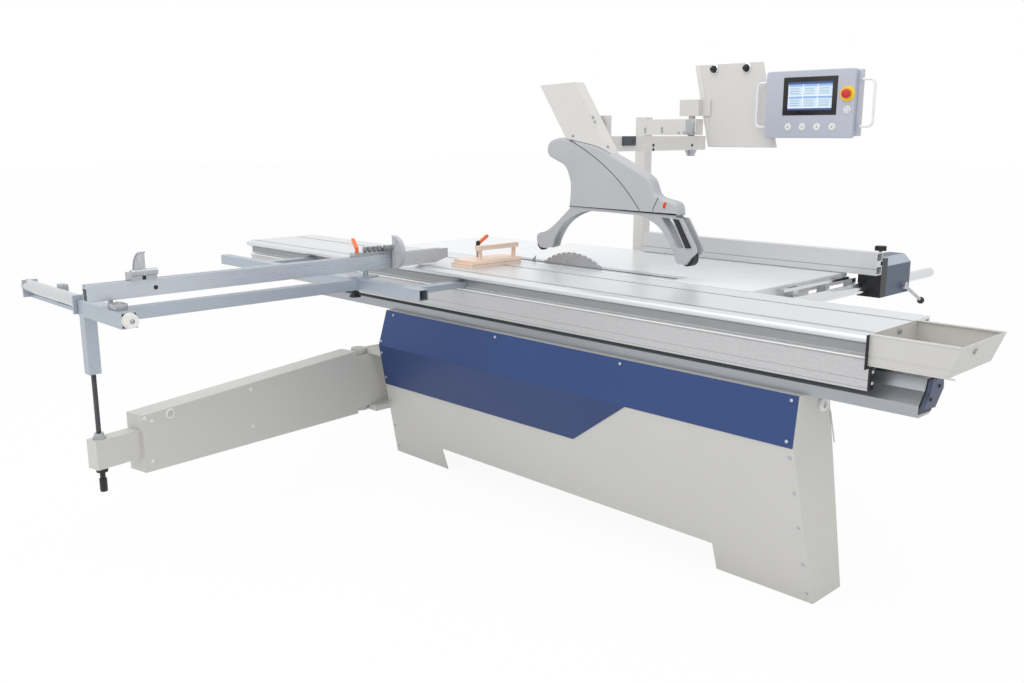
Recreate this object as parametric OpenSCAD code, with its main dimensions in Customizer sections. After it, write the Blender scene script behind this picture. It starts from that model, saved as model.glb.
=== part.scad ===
// Sliding table saw: a long rolling carriage beside a cast saw table.
// The origin lies on the floor, midway between the cabinet's anchor holes.
// +X points along the carriage to the operator's end, +Y to the rip fence side, +Z up.

/* [Table] */
// Height of the table top above the floor
table_h = 900; // [880:5:940]
// Length of the cast table along the cut
table_l = 1400; // [1350:10:1500]
// Width of the cast table across the cut
table_w = 665; // [650:5:720]
// Depth of the rim round the cast table
table_rim = 40; // [32:1:50]
// Thickness of the cast table plate
table_plate = 18; // [14:1:22]
// Length of the outfeed table
outfeed_l = 500; // [300:10:700]
// Width of the outfeed table
outfeed_w = 587; // [400:10:640]
// From the bolt centre to the blade plane
blade_off = 270; // [265:1:280]

/* [Blade] */
// Diameter of the saw blade
blade_d = 550; // [500:5:560]
// Height of the blade above the table at rest
blade_show = 53; // [40:1:60]
// Thickness of the blade plate
blade_t = 3.5; // [3:0.1:4]
// Number of blade teeth
blade_teeth = 60; // [40:2:80]
// Diameter of the scoring blade
scorer_d = 140; // [120:2:144]
// Length of the rise arm from pivot to arbor
rise_l = 430; // [420:1:440]
// Drop of the rise arm's pivot from the top
pivot_drop = 470; // [460:1:480]

/* [Carriage] */
// Length of the sliding carriage
carriage_l = 3200; // [2800:50:3400]
// Width of the carriage top
carriage_w = 364; // [350:2:380]
// Height of the carriage
carriage_h = 157; // [150:1:165]
// From the bolt centre to the carriage's far end
carriage_far = 1800; // [1700:10:2000]
// Table strip from the carriage to the blade
blade_strip = 66; // [60:1:70]
// Thickness of the carriage's skirts
skirt_t = 20; // [16:1:24]
// Length of the rail under the carriage
rail_l = 2830; // [2400:10:3000]
// Height of the fixed rail
rail_h = 96; // [80:1:100]
// Diameter of the guide rollers
roller_d = 14; // [10:1:18]

/* [Stand] */
// Length of the leaning front stand
stand_l = 2070; // [1900:5:2200]
// Wall of the stand's and the cabinet's sheet
sheet_t = 4; // [3:0.5:6]
// Height of the gap between the stand's feet
foot_gap_h = 100; // [60:5:140]
// Length of each foot of the stand
foot_l = 350; // [300:5:400]
// Depth of the stand at the floor
foot_w = 173; // [150:1:190]
// Length of the cabinet along the cut
cabinet_l = 1200; // [1150:10:1240]
// Width of the cabinet across the cut
cabinet_w = 660; // [650:2:664]
// Radius of the floor anchor holes
anchor_r = 7; // [5:0.5:9]
// Anchor hole spacing along the cut
anchor_dx = 900; // [800:10:1000]
// Anchor hole spacing across the cut
anchor_dy = 520; // [480:10:540]
// Outer diameter of the dust outlet
dust_d = 120; // [100:5:160]

/* [Outrigger] */
// Side of the outrigger's square tubes
tube_s = 40; // [36:1:46]
// Wall of the outrigger's tubes
tube_t = 3; // [2:0.5:4]
// Reach of the outrigger from the carriage
outrigger_reach = 1235; // [1150:5:1300]
// Diameter of the end roller
end_roller_d = 44; // [30:1:50]
// Length of the end roller
end_roller_l = 455; // [380:5:470]
// Side of the outrigger's leg tube
leg_s = 40; // [36:1:46]
// Height of the leg's foot above the floor
leg_foot_z = 640; // [600:5:660]
// Depth of the swing arm at its root
arm_root_h = 275; // [250:5:290]
// Depth of the swing arm at its tip
arm_tip_h = 205; // [180:5:230]
// Width of the swing arm
arm_w = 90; // [84:1:96]
// Length of the swing arm's outer box
arm_l = 1105; // [1050:5:1150]

/* [Crosscut fence] */
// Length of the crosscut fence
fence_l = 1440; // [1380:5:1460]
// Height of the crosscut fence
fence_h = 54; // [50:1:60]
// Thickness of the crosscut fence
fence_t = 36; // [32:1:40]
// Radius of the stop plates
stop_r = 64; // [50:1:65]

/* [Rip fence] */
// Length of the rip fence
rip_l = 1080; // [950:5:1100]
// Height of the rip fence
rip_h = 84; // [75:1:95]
// Thickness of the rip fence
rip_t = 45; // [38:1:50]
// Diameter of the rip fence's guide bar
rip_bar_d = 40; // [34:1:44]
// Length of the rip fence's guide bar
rip_bar_l = 1115; // [1100:5:1200]

/* [Guard] */
// Length of the guard hood
hood_l = 638; // [620:1:650]
// Height of the guard hood
hood_h = 273; // [260:1:280]
// Width of the guard hood
hood_w = 56; // [54:1:60]
// Wall of the guard hood
hood_wall = 4; // [3:0.5:6]
// Radius of the guard's wheels
wheel_r = 28; // [24:1:30]
// Side of the guard's square column
column_s = 52; // [48:1:60]
// Height of the column above the table
column_h = 583; // [570:1:600]

/* [Control panel] */
// Width of the control panel
panel_w = 390; // [380:2:420]
// Height of the control panel
panel_h = 254; // [240:2:270]
// Thickness of the control panel
panel_t = 40; // [34:1:50]
// Radius of the panel's push buttons
button_r = 9; // [7:0.5:11]
// Radius of the emergency stop
estop_r = 17; // [14:0.5:20]

/* [Hidden] */
$fn = 64;

// Overrun of every cut past its face
cut = 1;
// Radial clearance of shafts in their bores
run = 0.05;
// Sliding clearance between flat faces
slip = 0.3;

beige = [0.78, 0.77, 0.74];
blue = [0.16, 0.24, 0.46];
alu = [0.72, 0.75, 0.78];
steel = [0.62, 0.63, 0.65];
iron = [0.7, 0.71, 0.72];
black = [0.1, 0.1, 0.11];
white = [0.93, 0.92, 0.88];
orange = [0.9, 0.42, 0.2];
hood_grey = [0.7, 0.71, 0.73];

// Shared shapes: blocks, and outlines run along X or Y.
module block(low, high) {
    translate(low) cube(high - low);
}
module along_x(x0, x1) {
    translate([x0, 0, 0]) rotate([90, 0, 90]) linear_extrude(x1 - x0) children();
}
module along_y(y0, y1) {
    translate([0, y1, 0]) rotate([90, 0, 0]) linear_extrude(y1 - y0) children();
}
module rod_x(x0, x1, y, z, r) {
    translate([x0, y, z]) rotate([0, 90, 0]) cylinder(h = x1 - x0, r = r);
}
module rod_y(x, y0, y1, z, r) {
    translate([x, y1, z]) rotate([90, 0, 0]) cylinder(h = y1 - y0, r = r);
}
module rod_z(x, y, z0, z1, r) {
    translate([x, y, z0]) cylinder(h = z1 - z0, r = r);
}
module post(x, y, s, z0, z1) block([x - s / 2, y - s / 2, z0], [x + s / 2, y + s / 2, z1]);
// A square tube along X or Y, open at both ends.
module tube_x(x0, x1, y, z, s, t) {
    difference() {
        block([x0, y - s / 2, z - s / 2], [x1, y + s / 2, z + s / 2]);
        block([x0 - cut, y - s / 2 + t, z - s / 2 + t], [x1 + cut, y + s / 2 - t, z + s / 2 - t]);
    }
}
module tube_y(x, y0, y1, z, s, t) {
    difference() {
        block([x - s / 2, y0, z - s / 2], [x + s / 2, y1, z + s / 2]);
        block([x - s / 2 + t, y0 - cut, z - s / 2 + t], [x + s / 2 - t, y1 + cut, z + s / 2 - t]);
    }
}
// A smooth run through chosen points.
function curve_point(a, b, c, d, t) =
    0.5 * (2 * b + (c - a) * t + (2 * a - 5 * b + 4 * c - d) * t * t + (3 * b - a - 3 * c + d) * t * t * t);
function smooth_run(p, steps) = let (last = len(p) - 1) [
    for (i = [0 : last - 1], k = [0 : steps - 1])
        curve_point(p[max(i - 1, 0)], p[i], p[i + 1], p[min(i + 2, last)], k / steps),
    p[last]];
function placed(shares, x0, z0, l, h) = [for (s = shares) [x0 + s[0] * l, z0 + s[1] * h]];
// A point moved square to the line from p to q.
function offset_left(p, q, t) = let (d = (q - p) / norm(q - p)) [d[1] * t, -d[0] * t];
curve_steps = 5;

// Table: cast plate, insert over the saw, outfeed table.
top = table_h;
blade_y = -blade_off;
carriage_y1 = blade_y - blade_strip;
carriage_y0 = carriage_y1 - carriage_w;
table_gap = 6;
table_y0 = carriage_y1 + table_gap;
table_y1 = table_y0 + table_w;
table_far = 600;
table_x0 = -table_far;
table_x1 = table_x0 + table_l;
table_rim_t = 20;
insert_t = 8;
insert_x0 = -470;
insert_x1 = 470;
insert_front = 32;
insert_back = 62;
insert_y0 = blade_y - insert_front;
insert_y1 = blade_y + insert_back;
insert_lip = 10;
slot_front = 6;
slot_back = 16;
slot_x0 = -440;
slot_x1 = 455;
outfeed_gap = 2;
outfeed_x1 = table_x0 - outfeed_gap;
outfeed_x0 = outfeed_x1 - outfeed_l;
outfeed_h = 30;
outfeed_skin = 5;
outfeed_tie_w = 40;
outfeed_tie_h = 10;

module main_table() color(iron) {
    low_z = top - table_rim;
    difference() {
        block([table_x0, table_y0, low_z], [table_x1, table_y1, top]);
        block([table_x0 + table_rim_t, table_y0 + table_rim_t, low_z - cut],
            [table_x1 - table_rim_t, table_y1 - table_rim_t, top - table_plate]);
        block([insert_x0, insert_y0, top - insert_t], [insert_x1, insert_y1, top + cut]);
        block([insert_x0 + insert_lip, insert_y0 + insert_lip / 2, low_z - cut],
            [insert_x1 - insert_lip, insert_y1, top + cut]);
    }
}
module table_insert() color(steel)
    difference() {
        block([insert_x0 + slip, insert_y0 + slip, top - insert_t], [insert_x1 - slip, insert_y1 - slip, top]);
        block([slot_x0, blade_y - slot_front, top - insert_t - cut], [slot_x1, blade_y + slot_back, top + cut]);
    }
module outfeed_table() color(alu) {
    low_z = top - outfeed_h;
    difference() {
        block([outfeed_x0, table_y0, low_z], [outfeed_x1, table_y0 + outfeed_w, top]);
        block([outfeed_x0 + outfeed_skin, table_y0 + outfeed_skin, low_z - cut],
            [outfeed_x1 - outfeed_skin, table_y0 + outfeed_w - outfeed_skin, top - outfeed_skin]);
    }
    for (y = [table_y0 + outfeed_tie_w, table_y0 + outfeed_w - 2 * outfeed_tie_w])
        block([outfeed_x1 - outfeed_skin, y, top - table_rim], [outfeed_x1 + outfeed_gap, y + outfeed_tie_w,
            top - table_rim + outfeed_tie_h]);
}

// Rail and stand: the rail rests on the leaning stand.
rail_gap = 8;
rail_near = 1530;
rail_x1 = rail_near;
rail_x0 = rail_x1 - rail_l;
rail_w = 113;
rail_y0 = carriage_y0 + skirt_t + rail_gap;
rail_y1 = rail_y0 + rail_w;
carriage_z0 = top - carriage_h;
ceiling_drop = 100;
ceiling_z = top - ceiling_drop;
rail_z1 = ceiling_z - roller_d;
rail_z0 = rail_z1 - rail_h;
rail_cap_t = 14;
// The rail's section, its hollow and the caps, as shares
rail_shares = [[0, 0], [0, 0.34], [0.28, 0.68], [0.38, 1], [0.96, 1], [1, 0.68], [0.61, 0]];
rail_core_shares = [[0.12, 0.12], [0.12, 0.3], [0.4, 0.66], [0.48, 0.88], [0.86, 0.88], [0.89, 0.68],
    [0.54, 0.12]];
rail_cap_shares = [[0.02, 0.27], [0.02, 0.34], [0.28, 0.68], [0.38, 1], [0.96, 0.99], [1, 0.68], [0.61, 0.2]];
stand_z1 = rail_z0;
stand_near = 1207;
stand_x1 = stand_near;
stand_x0 = stand_x1 - stand_l;
stand_in = 3;
stand_y0 = carriage_y0 + stand_in;
stand_lean = 151;
stand_fold_out = 20;
stand_fold_drop = 151;
stand_foot_in = 156;
stand_top_w = 163;
stand_a = [stand_y0, stand_z1];
stand_b = [stand_y0 - stand_fold_out, stand_z1 - stand_fold_drop];
stand_c = [stand_y0 + stand_foot_in, 0];
stand_d = [stand_c[0] + foot_w, 0];
stand_e = [stand_y0 + stand_top_w, stand_z1];
tie_z0 = 560;
tie_h = 60;
tie_w = 80;
tie_shares = [0.22, 0.64];
cabinet_far = 550;
cabinet_x0 = -cabinet_far;
cabinet_x1 = cabinet_x0 + cabinet_l;
cabinet_y0 = -cabinet_w / 2;
cabinet_y1 = cabinet_w / 2;
cabinet_z1 = top - table_rim;
door_x = cabinet_x1;
door_y0 = -180;
door_y1 = 220;
door_z0 = 160;
door_z1 = 700;
door_lap = 20;
door_pin_r = 6;
door_gap = 1;
door_knuckle_r = 11;
door_pin_x = door_x + door_knuckle_r;
door_pin_y = door_y1 + door_knuckle_r;
dust_x = -200;
dust_z = 230;
dust_l = 80;
dust_wall = 3;
dust_flange = 20;
dust_flange_t = 6;

// The stand's section and its leaning far end.
module stand_outline(t) {
    side_in = t * 1.1;
    polygon([
        stand_a + [t, -t], stand_b + [side_in, 0], stand_c + [side_in, -side_in],
        stand_d + [-side_in, -side_in], stand_e + [-side_in, -t]]);
}
module stand_shape(t) {
    intersection() {
        along_x(stand_x0, stand_x1 - t) stand_outline(t);
        along_y(stand_b[0] - foot_w, stand_d[0] + foot_w)
            polygon([[stand_x0 + t, -foot_w], [stand_x0 + t, 0], [stand_x0 + stand_lean + t, stand_z1],
                [stand_x1 + cut, stand_z1], [stand_x1 + cut, -foot_w]]);
    }
}
module stand() color(beige) {
    difference() {
        stand_shape(0);
        stand_shape(sheet_t);
        block([stand_x0 + foot_l, stand_c[0] - foot_w, -cut],
            [stand_x1 - foot_l, stand_d[0] + foot_w, foot_gap_h]);
    }
    for (x = [for (s = tie_shares) stand_x0 + s * stand_l])
        difference() {
            block([x, stand_e[0], tie_z0], [x + tie_w, cabinet_y0, tie_z0 + tie_h]);
            block([x + sheet_t, stand_e[0] - cut, tie_z0 + sheet_t],
                [x + tie_w - sheet_t, cabinet_y0 + cut, tie_z0 + tie_h - sheet_t]);
            stand_shape(sheet_t);
        }
}
// Blue front panel: a folded sheet with a lower flap.
panel_skin = 3;
panel_edge = 4;
panel_x0 = stand_x0 + panel_edge;
panel_x1 = stand_x1 - panel_edge;
flap_z = 352;
flap_share = (stand_b[1] - flap_z) / stand_b[1];
flap_low = stand_b + (stand_c - stand_b) * flap_share;
flap_near = 316;
flap_fold_near = 594;
module stand_panel() color(blue) {
    up_out = offset_left(stand_a, stand_b, panel_skin);
    low_out = offset_left(stand_b, stand_c, panel_skin);
    difference() {
        along_x(panel_x0, panel_x1)
            polygon([stand_a, stand_b, flap_low, flap_low + low_out, stand_b + (up_out + low_out) / 2,
                stand_a + up_out]);
        along_y(stand_b[0] - foot_w, stand_c[0] + foot_w)
            polygon([[flap_near, flap_z - foot_w], [flap_near, flap_z], [flap_fold_near, stand_b[1]],
                [stand_x1 + cut, stand_b[1]], [stand_x1 + cut, flap_z - foot_w]]);
        along_y(stand_b[0] - foot_w, stand_c[0] + foot_w)
            polygon([[panel_x0 - cut, 0], [panel_x0, 0], [panel_x0 + stand_lean, stand_z1],
                [panel_x0 + stand_lean, stand_z1 + foot_w], [panel_x0 - cut, stand_z1 + foot_w]]);
    }
}
// Pan-head screws, square to the faces they sit on.
screw_r = 5;
screw_h = 4;
screw_in = 18;
upper_tilt = atan2(stand_fold_out, stand_fold_drop);
lower_tilt = atan2(stand_c[0] - stand_b[0], stand_b[1]);
panel_screw_shares = [0.02, 0.345, 0.66, 0.99];
stand_screw_shares = [0.06, 0.28, 0.5, 0.74, 0.94];
upper_row_share = 0.1;
fold_row_share = 0.88;
function on_upper(s) = stand_a + (stand_b - stand_a) * s;
function on_lower(s) = stand_b + (stand_c - stand_b) * s;
function far_x(z) = stand_x0 + stand_lean * z / stand_z1 + screw_in;
module screw_at(x, p, tilt) {
    translate([x, p[0], p[1]]) rotate([90 + tilt, 0, 0]) cylinder(h = screw_h, r = screw_r);
}
module cover_screws() color(steel) {
    up = offset_left(stand_a, stand_b, panel_skin);
    low = offset_left(stand_b, stand_c, panel_skin);
    panel_top_x0 = far_x(stand_z1);
    for (s = panel_screw_shares)
        screw_at(panel_top_x0 + s * (panel_x1 - panel_top_x0), on_upper(upper_row_share) + up, -upper_tilt);
    for (x = [far_x(on_upper(fold_row_share)[1]), panel_x1 - screw_in])
        screw_at(x, on_upper(fold_row_share) + up, -upper_tilt);
    for (s = stand_screw_shares) {
        screw_at(far_x(on_lower(s)[1]), on_lower(s) + (on_lower(s)[1] > flap_z ? low : [0, 0]), lower_tilt);
        screw_at(stand_x1 - screw_in, on_lower(s), lower_tilt);
    }
}
module rail_section(shares) {
    polygon(placed(shares, rail_y0, rail_z0, rail_w, rail_h));
}
module slide_rail() color(alu) along_x(rail_x0, rail_x1)
    difference() {
        rail_section(rail_shares);
        rail_section(rail_core_shares);
    }
module rail_caps() color(blue)
    for (x = [rail_x0 - rail_cap_t, rail_x1])
        along_x(x, x + rail_cap_t) rail_section(rail_cap_shares);

// Cabinet: an open-topped sheet box with a side door.
module cabinet() color(beige) {
    difference() {
        block([cabinet_x0, cabinet_y0, 0], [cabinet_x1, cabinet_y1, cabinet_z1]);
        block([cabinet_x0 + sheet_t, cabinet_y0 + sheet_t, sheet_t],
            [cabinet_x1 - sheet_t, cabinet_y1 - sheet_t, cabinet_z1 + cut]);
        block([cabinet_x1 - 2 * sheet_t, door_y0 + door_lap, door_z0 + door_lap],
            [cabinet_x1 + cut, door_y1 - door_lap, door_z1 - door_lap]);
        rod_y(dust_x, cabinet_y1 - 2 * sheet_t, cabinet_y1 + cut, dust_z, dust_d / 2 - dust_wall);
        for (x = [-anchor_dx / 2, anchor_dx / 2], y = [-anchor_dy / 2, anchor_dy / 2])
            rod_z(x, y, -cut, sheet_t + cut, anchor_r);
    }
    for (z = [door_z0, door_z1 - 4 * door_lap])
        difference() {
            union() {
                rod_z(door_pin_x, door_pin_y, z, z + door_lap, door_knuckle_r);
                block([door_x, door_y1 + door_gap, z],
                    [door_x + door_knuckle_r, door_y1 + 2 * door_knuckle_r, z + door_lap]);
            }
            rod_z(door_pin_x, door_pin_y, z - cut, z + door_lap + cut, door_pin_r + run);
        }
}
module cabinet_door() color(beige) {
    block([door_x + slip, door_y0, door_z0], [door_x + slip + sheet_t, door_y1 - door_gap, door_z1]);
    for (z = [door_z0, door_z1 - 4 * door_lap]) {
        rod_z(door_pin_x, door_pin_y, z + door_lap + slip, z + 2 * door_lap, door_knuckle_r);
        block([door_x + slip, door_y1 - 2 * door_gap, z + door_lap + slip],
            [door_x + slip + sheet_t, door_y1 + door_knuckle_r, z + 2 * door_lap]);
        rod_z(door_pin_x, door_pin_y, z, z + 2 * door_lap, door_pin_r);
    }
}
module dust_port() color(black)
    difference() {
        union() {
            rod_y(dust_x, cabinet_y1, cabinet_y1 + dust_l, dust_z, dust_d / 2);
            rod_y(dust_x, cabinet_y1, cabinet_y1 + dust_flange_t, dust_z, dust_d / 2 + dust_flange);
        }
        rod_y(dust_x, cabinet_y1 - cut, cabinet_y1 + dust_l + cut, dust_z, dust_d / 2 - dust_wall);
    }

// Carriage: a hollow extrusion with a nose and a slot.
nose_r = 10;
nose_out = 24;
nose_drop = 14;
recess_in = 6;
recess_z0 = 58;
recess_z1 = 32;
ledge_out = 6;
ledge_t = 10;
slot_pos = 251;
slot_w = 12;
slot_depth = 26;
tee_w = 24;
tee_z0 = 26;
tee_h = 9;
web_t = 8;
keel_y0 = rail_y1 + rail_gap;
carriage_x0 = -carriage_far;
carriage_x1 = carriage_x0 + carriage_l;
slot_y = carriage_y0 + slot_pos;
module carriage_outline() {
    nose = [carriage_y0 - nose_out + nose_r, top - nose_drop];
    difference() {
        union() {
            polygon([
                [carriage_y0, top], nose + [0, nose_r], nose - [0, nose_r],
                [carriage_y0 + recess_in, top - recess_z1], [carriage_y0 + recess_in, top - recess_z0],
                [carriage_y0 - ledge_out, top - recess_z0 - ledge_out],
                [carriage_y0 - ledge_out, top - recess_z0 - ledge_t],
                [carriage_y0, top - recess_z0 - ledge_t - ledge_out], [carriage_y0, carriage_z0],
                [carriage_y0 + skirt_t, carriage_z0], [carriage_y0 + skirt_t, ceiling_z],
                [keel_y0, ceiling_z], [keel_y0, carriage_z0], [keel_y0 + web_t, carriage_z0],
                [keel_y0 + web_t, ceiling_z], [carriage_y1 - skirt_t, ceiling_z],
                [carriage_y1 - skirt_t, carriage_z0],
                [carriage_y1, carriage_z0], [carriage_y1, top]]);
            translate(nose) circle(r = nose_r);
        }
        translate([slot_y - slot_w / 2, top - slot_depth]) square([slot_w, slot_depth + cut]);
        translate([slot_y - tee_w / 2, top - tee_z0]) square([tee_w, tee_h]);
        translate([carriage_y0 + skirt_t, ceiling_z + web_t])
            square([slot_y - tee_w - carriage_y0 - skirt_t, top - ceiling_z - 2 * web_t]);
        translate([slot_y + tee_w, ceiling_z + web_t])
            square([carriage_y1 - web_t - slot_y - tee_w, top - ceiling_z - 2 * web_t]);
    }
}
module carriage_profile() color(alu) along_x(carriage_x0, carriage_x1) carriage_outline();

// Roller cage between the rail and the carriage.
cage_l = 1600;
cage_x0 = -900;
cage_t = 5;
cage_roller_pitch = 200;
cage_roller_l = 44;
cage_window = 0.6;
cage_y0 = rail_y0 + rail_shares[3][0] * rail_w;
cage_y1 = rail_y0 + rail_shares[4][0] * rail_w;
cage_z = rail_z1 + roller_d / 2;
module roller_cage() {
    mid = (cage_y0 + cage_y1) / 2;
    places = [for (x = [cage_x0 + cage_roller_pitch / 2 : cage_roller_pitch : cage_x0 + cage_l - cut]) x];
    color(black)
        difference() {
            block([cage_x0, cage_y0, cage_z - cage_t / 2], [cage_x0 + cage_l, cage_y1, cage_z + cage_t / 2]);
            for (x = places)
                block([x - roller_d / 2 - cage_window, mid - cage_roller_l / 2 - cage_window, cage_z - cage_t],
                    [x + roller_d / 2 + cage_window, mid + cage_roller_l / 2 + cage_window, cage_z + cage_t]);
        }
    color(steel)
        for (x = places)
            rod_y(x, mid - cage_roller_l / 2, mid + cage_roller_l / 2, cage_z, roller_d / 2 - run);
}

// End tray, bolted to the carriage's operator end.
tray_l = 240;
tray_w = 292;
tray_h = 85;
tray_slant = 33;
tray_t = 3;
tray_front = 12;
tray_x0 = carriage_x1;
tray_x1 = tray_x0 + tray_l;
tray_y0 = carriage_y0 - tray_front;
tray_y1 = tray_y0 + tray_w;
tray_slope = atan2(tray_slant, tray_h);
tray_bolt_r = 8;
tray_bolt_h = 6;
tray_bolt_drop = 16;
tray_bolt_in = 170;
end_bolt_share = 0.3;
end_bolt_in = 105;
module tray_side(t, over) {
    slant_in = t / cos(tray_slope);
    slant_over = over * tray_slant / tray_h;
    polygon([[tray_x0 + t, top + over], [tray_x1 - slant_in + slant_over, top + over],
        [tray_x1 - slant_in - tray_slant + t * tray_slant / tray_h, top - tray_h + t],
        [tray_x0 + t, top - tray_h + t]]);
}
module end_tray() color(beige)
    difference() {
        along_y(tray_y0, tray_y1) tray_side(0, 0);
        along_y(tray_y0 + tray_t, tray_y1 - tray_t) tray_side(tray_t, cut);
    }
module tray_bolts() color(white) {
    rod_x(tray_x0 + tray_t, tray_x0 + tray_t + tray_bolt_h, tray_y0 + tray_bolt_in, top - tray_bolt_drop,
        tray_bolt_r);
    translate([tray_x1 - tray_slant * end_bolt_share, tray_y0 + end_bolt_in, top - tray_h * end_bolt_share])
        rotate([0, 90 + tray_slope, 0]) cylinder(h = tray_bolt_h, r = tray_bolt_r);
}

// Outrigger: tubes in an H, with a roller at the outer end.
inner_tube_out = 300;
inner_tube_far = 300;
inner_tube_l = 1412;
inner_tube_y = carriage_y0 - inner_tube_out;
inner_tube_x0 = carriage_x0 + inner_tube_far;
inner_tube_x1 = inner_tube_x0 + inner_tube_l;
frame_z = top - tube_s;
end_y = carriage_y0 - outrigger_reach;
cross_far = 1330;
cross_x = carriage_x0 + cross_far;
end_tube_far = 1115;
end_tube_l = 340;
end_tube_x0 = carriage_x0 + end_tube_far;
end_tube_x1 = end_tube_x0 + end_tube_l;
end_tube_s = 50;
end_tube_drop = 15;
end_tube_z = top - end_tube_drop - end_tube_s / 2;
end_tube_low = end_tube_z - end_tube_s / 2;
roller_gap = 12;
roller_out = 15;
roller_x1 = end_tube_x0 - roller_gap;
roller_x0 = roller_x1 - end_roller_l;
roller_y = end_y - roller_out;
roller_z = top - end_roller_d / 2;
axle_r = 5;
bracket_t = 8;
strip_w = 30;
strip_t = 12;
strip_in = 60;
strip_z = end_tube_low + tube_t;
clamp_w = 50;
clamp_h = 22;
clamp_shares = [0.15, 0.88];
leg_far = 1140;
leg_out = 4;
leg_x = carriage_x0 + leg_far;
leg_y = end_y - leg_out;
mitre_side = 8;
mitre_x = cross_x - mitre_side;
mitre_out = 265;
mitre_y = carriage_y0 - mitre_out;
mitre_r = 10;
mitre_h = 14;
mitre_foot_w = 70;
mitre_plate_t = 8;
fence_gap = 8;
rest_post_r = 8;
bumper_r = 21;
bumper_t = 22;
module outrigger_frame() {
    color(alu) {
        tube_x(inner_tube_x0, inner_tube_x1, inner_tube_y, frame_z, tube_s, tube_t);
        tube_y(cross_x, end_y + end_tube_s / 2, inner_tube_y - tube_s / 2, frame_z, tube_s, tube_t);
        tube_x(end_tube_x0, end_tube_x1, end_y, end_tube_z, end_tube_s, tube_t);
        for (s = clamp_shares) {
            x = inner_tube_x0 + s * (inner_tube_x1 - inner_tube_x0);
            block([x, inner_tube_y + tube_s / 2, top - recess_z0 + slip],
                [x + clamp_w, carriage_y0 + recess_in, top - recess_z0 + slip + clamp_h]);
        }
        block([mitre_x - mitre_foot_w / 2, inner_tube_y - tube_s / 2, frame_z + tube_s / 2],
            [mitre_x + mitre_foot_w / 2, mitre_y + mitre_foot_w / 2, frame_z + tube_s / 2 + mitre_plate_t]);
        rod_z(mitre_x, mitre_y, frame_z + tube_s / 2, top + mitre_h, mitre_r);
        rod_z(mitre_x, end_y, end_tube_z + end_tube_s / 2 - tube_t, top + fence_gap - slip, rest_post_r);
    }
    color(beige)
        block([roller_x0 - bracket_t, end_y - strip_w / 2, strip_z], [end_tube_x0 + strip_in, end_y + strip_w / 2,
            strip_z + strip_t]);
    color(steel)
        for (x = [roller_x0 - 2 * bracket_t + slip, roller_x1 + slip])
            difference() {
                block([x, roller_y - end_roller_d / 2, strip_z], [x + bracket_t, end_y + strip_w / 2,
                    top - slip]);
                rod_x(x - cut, x + bracket_t + cut, roller_y, roller_z, axle_r + run);
            }
    color(alu)
        difference() {
            post(leg_x, leg_y, leg_s, leg_foot_z, end_tube_low);
            post(leg_x, leg_y, leg_s - 2 * tube_t, leg_foot_z + tube_t, end_tube_low + cut);
        }
    color(white) {
        rod_x(end_tube_x1, end_tube_x1 + bumper_t, end_y, end_tube_z, bumper_r);
        rod_x(end_tube_x1, end_tube_x1 + tube_t, end_y, end_tube_z, end_tube_s / 2);
    }
}
module end_roller() color(alu) {
    rod_x(roller_x0 - bracket_t + 2 * slip, roller_x1, roller_y, roller_z, end_roller_d / 2);
    rod_x(roller_x0 - 2 * bracket_t, roller_x1 + bracket_t, roller_y, roller_z, axle_r);
}

// Swing arm, its inner tube and the rod under the leg.
hinge_out = 27;
hinge_front = 3;
hinge_x = stand_x0 - hinge_out;
hinge_y = stand_b[0] - hinge_front;
hinge_pin_r = 16;
hinge_eye_r = 30;
hinge_lug_t = 22;
hinge_lug_w = 65;
hinge_lug_in = 24;
arm_mid_z = 366;
arm_root_z0 = arm_mid_z - arm_root_h / 2;
arm_root_z1 = arm_mid_z + arm_root_h / 2;
arm_tip_z0 = arm_mid_z - arm_tip_h / 2;
arm_tip_z1 = arm_mid_z + arm_tip_h / 2;
arm_root = 60;
arm_tail = 140;
arm_wall = 4;
arm_end_t = 8;
arm_turn = atan2(leg_x - hinge_x, hinge_y - leg_y);
arm_reach = norm([leg_x - hinge_x, hinge_y - leg_y]);
inner_w = 56;
inner_h = 100;
inner_l = 1040;
inner_z = arm_mid_z;
inner_over = 30;
inner_y0 = -arm_reach - inner_over;
rod_r = 8;
rod_z0 = 230;
nut_r = 15;
nut_h = 12;
module on_arm() {
    translate([hinge_x, hinge_y, 0]) rotate([0, 0, arm_turn]) children();
}
module arm_side(t) {
    rotate([90, 0, 90]) translate([0, 0, -arm_w / 2 + t]) linear_extrude(arm_w - 2 * t)
        let (end = -arm_l + (t > 0 ? arm_end_t : 0))
            polygon([[-arm_root - t, arm_root_z0 + t], [-arm_root - t, arm_root_z1 - t], [end, arm_tip_z1 - t],
                [end, arm_tip_z0 + t]]);
}
module swing_arm() color(beige) on_arm() {
    eye_z0 = arm_root_z0 + hinge_lug_t + 2 * slip;
    eye_z1 = arm_root_z1 - hinge_lug_t - 2 * slip;
    difference() {
        union() {
            arm_side(0);
            rod_z(0, 0, eye_z0, eye_z1, hinge_eye_r);
            block([-hinge_eye_r, -arm_root - arm_wall, eye_z0], [hinge_eye_r, 0, eye_z1]);
            for (x = [-arm_w / 2, arm_w / 2 - arm_wall])
                block([x, -arm_root - arm_wall, eye_z0], [x + arm_wall, arm_tail, eye_z1]);
        }
        arm_side(arm_wall);
        rod_z(0, 0, eye_z0 - cut, eye_z1 + cut, hinge_pin_r + run);
        block([-inner_w / 2 - slip, -arm_l - cut, inner_z - inner_h / 2 - slip],
            [inner_w / 2 + slip, -arm_l + arm_end_t + cut, inner_z + inner_h / 2 + slip]);
    }
}
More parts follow.
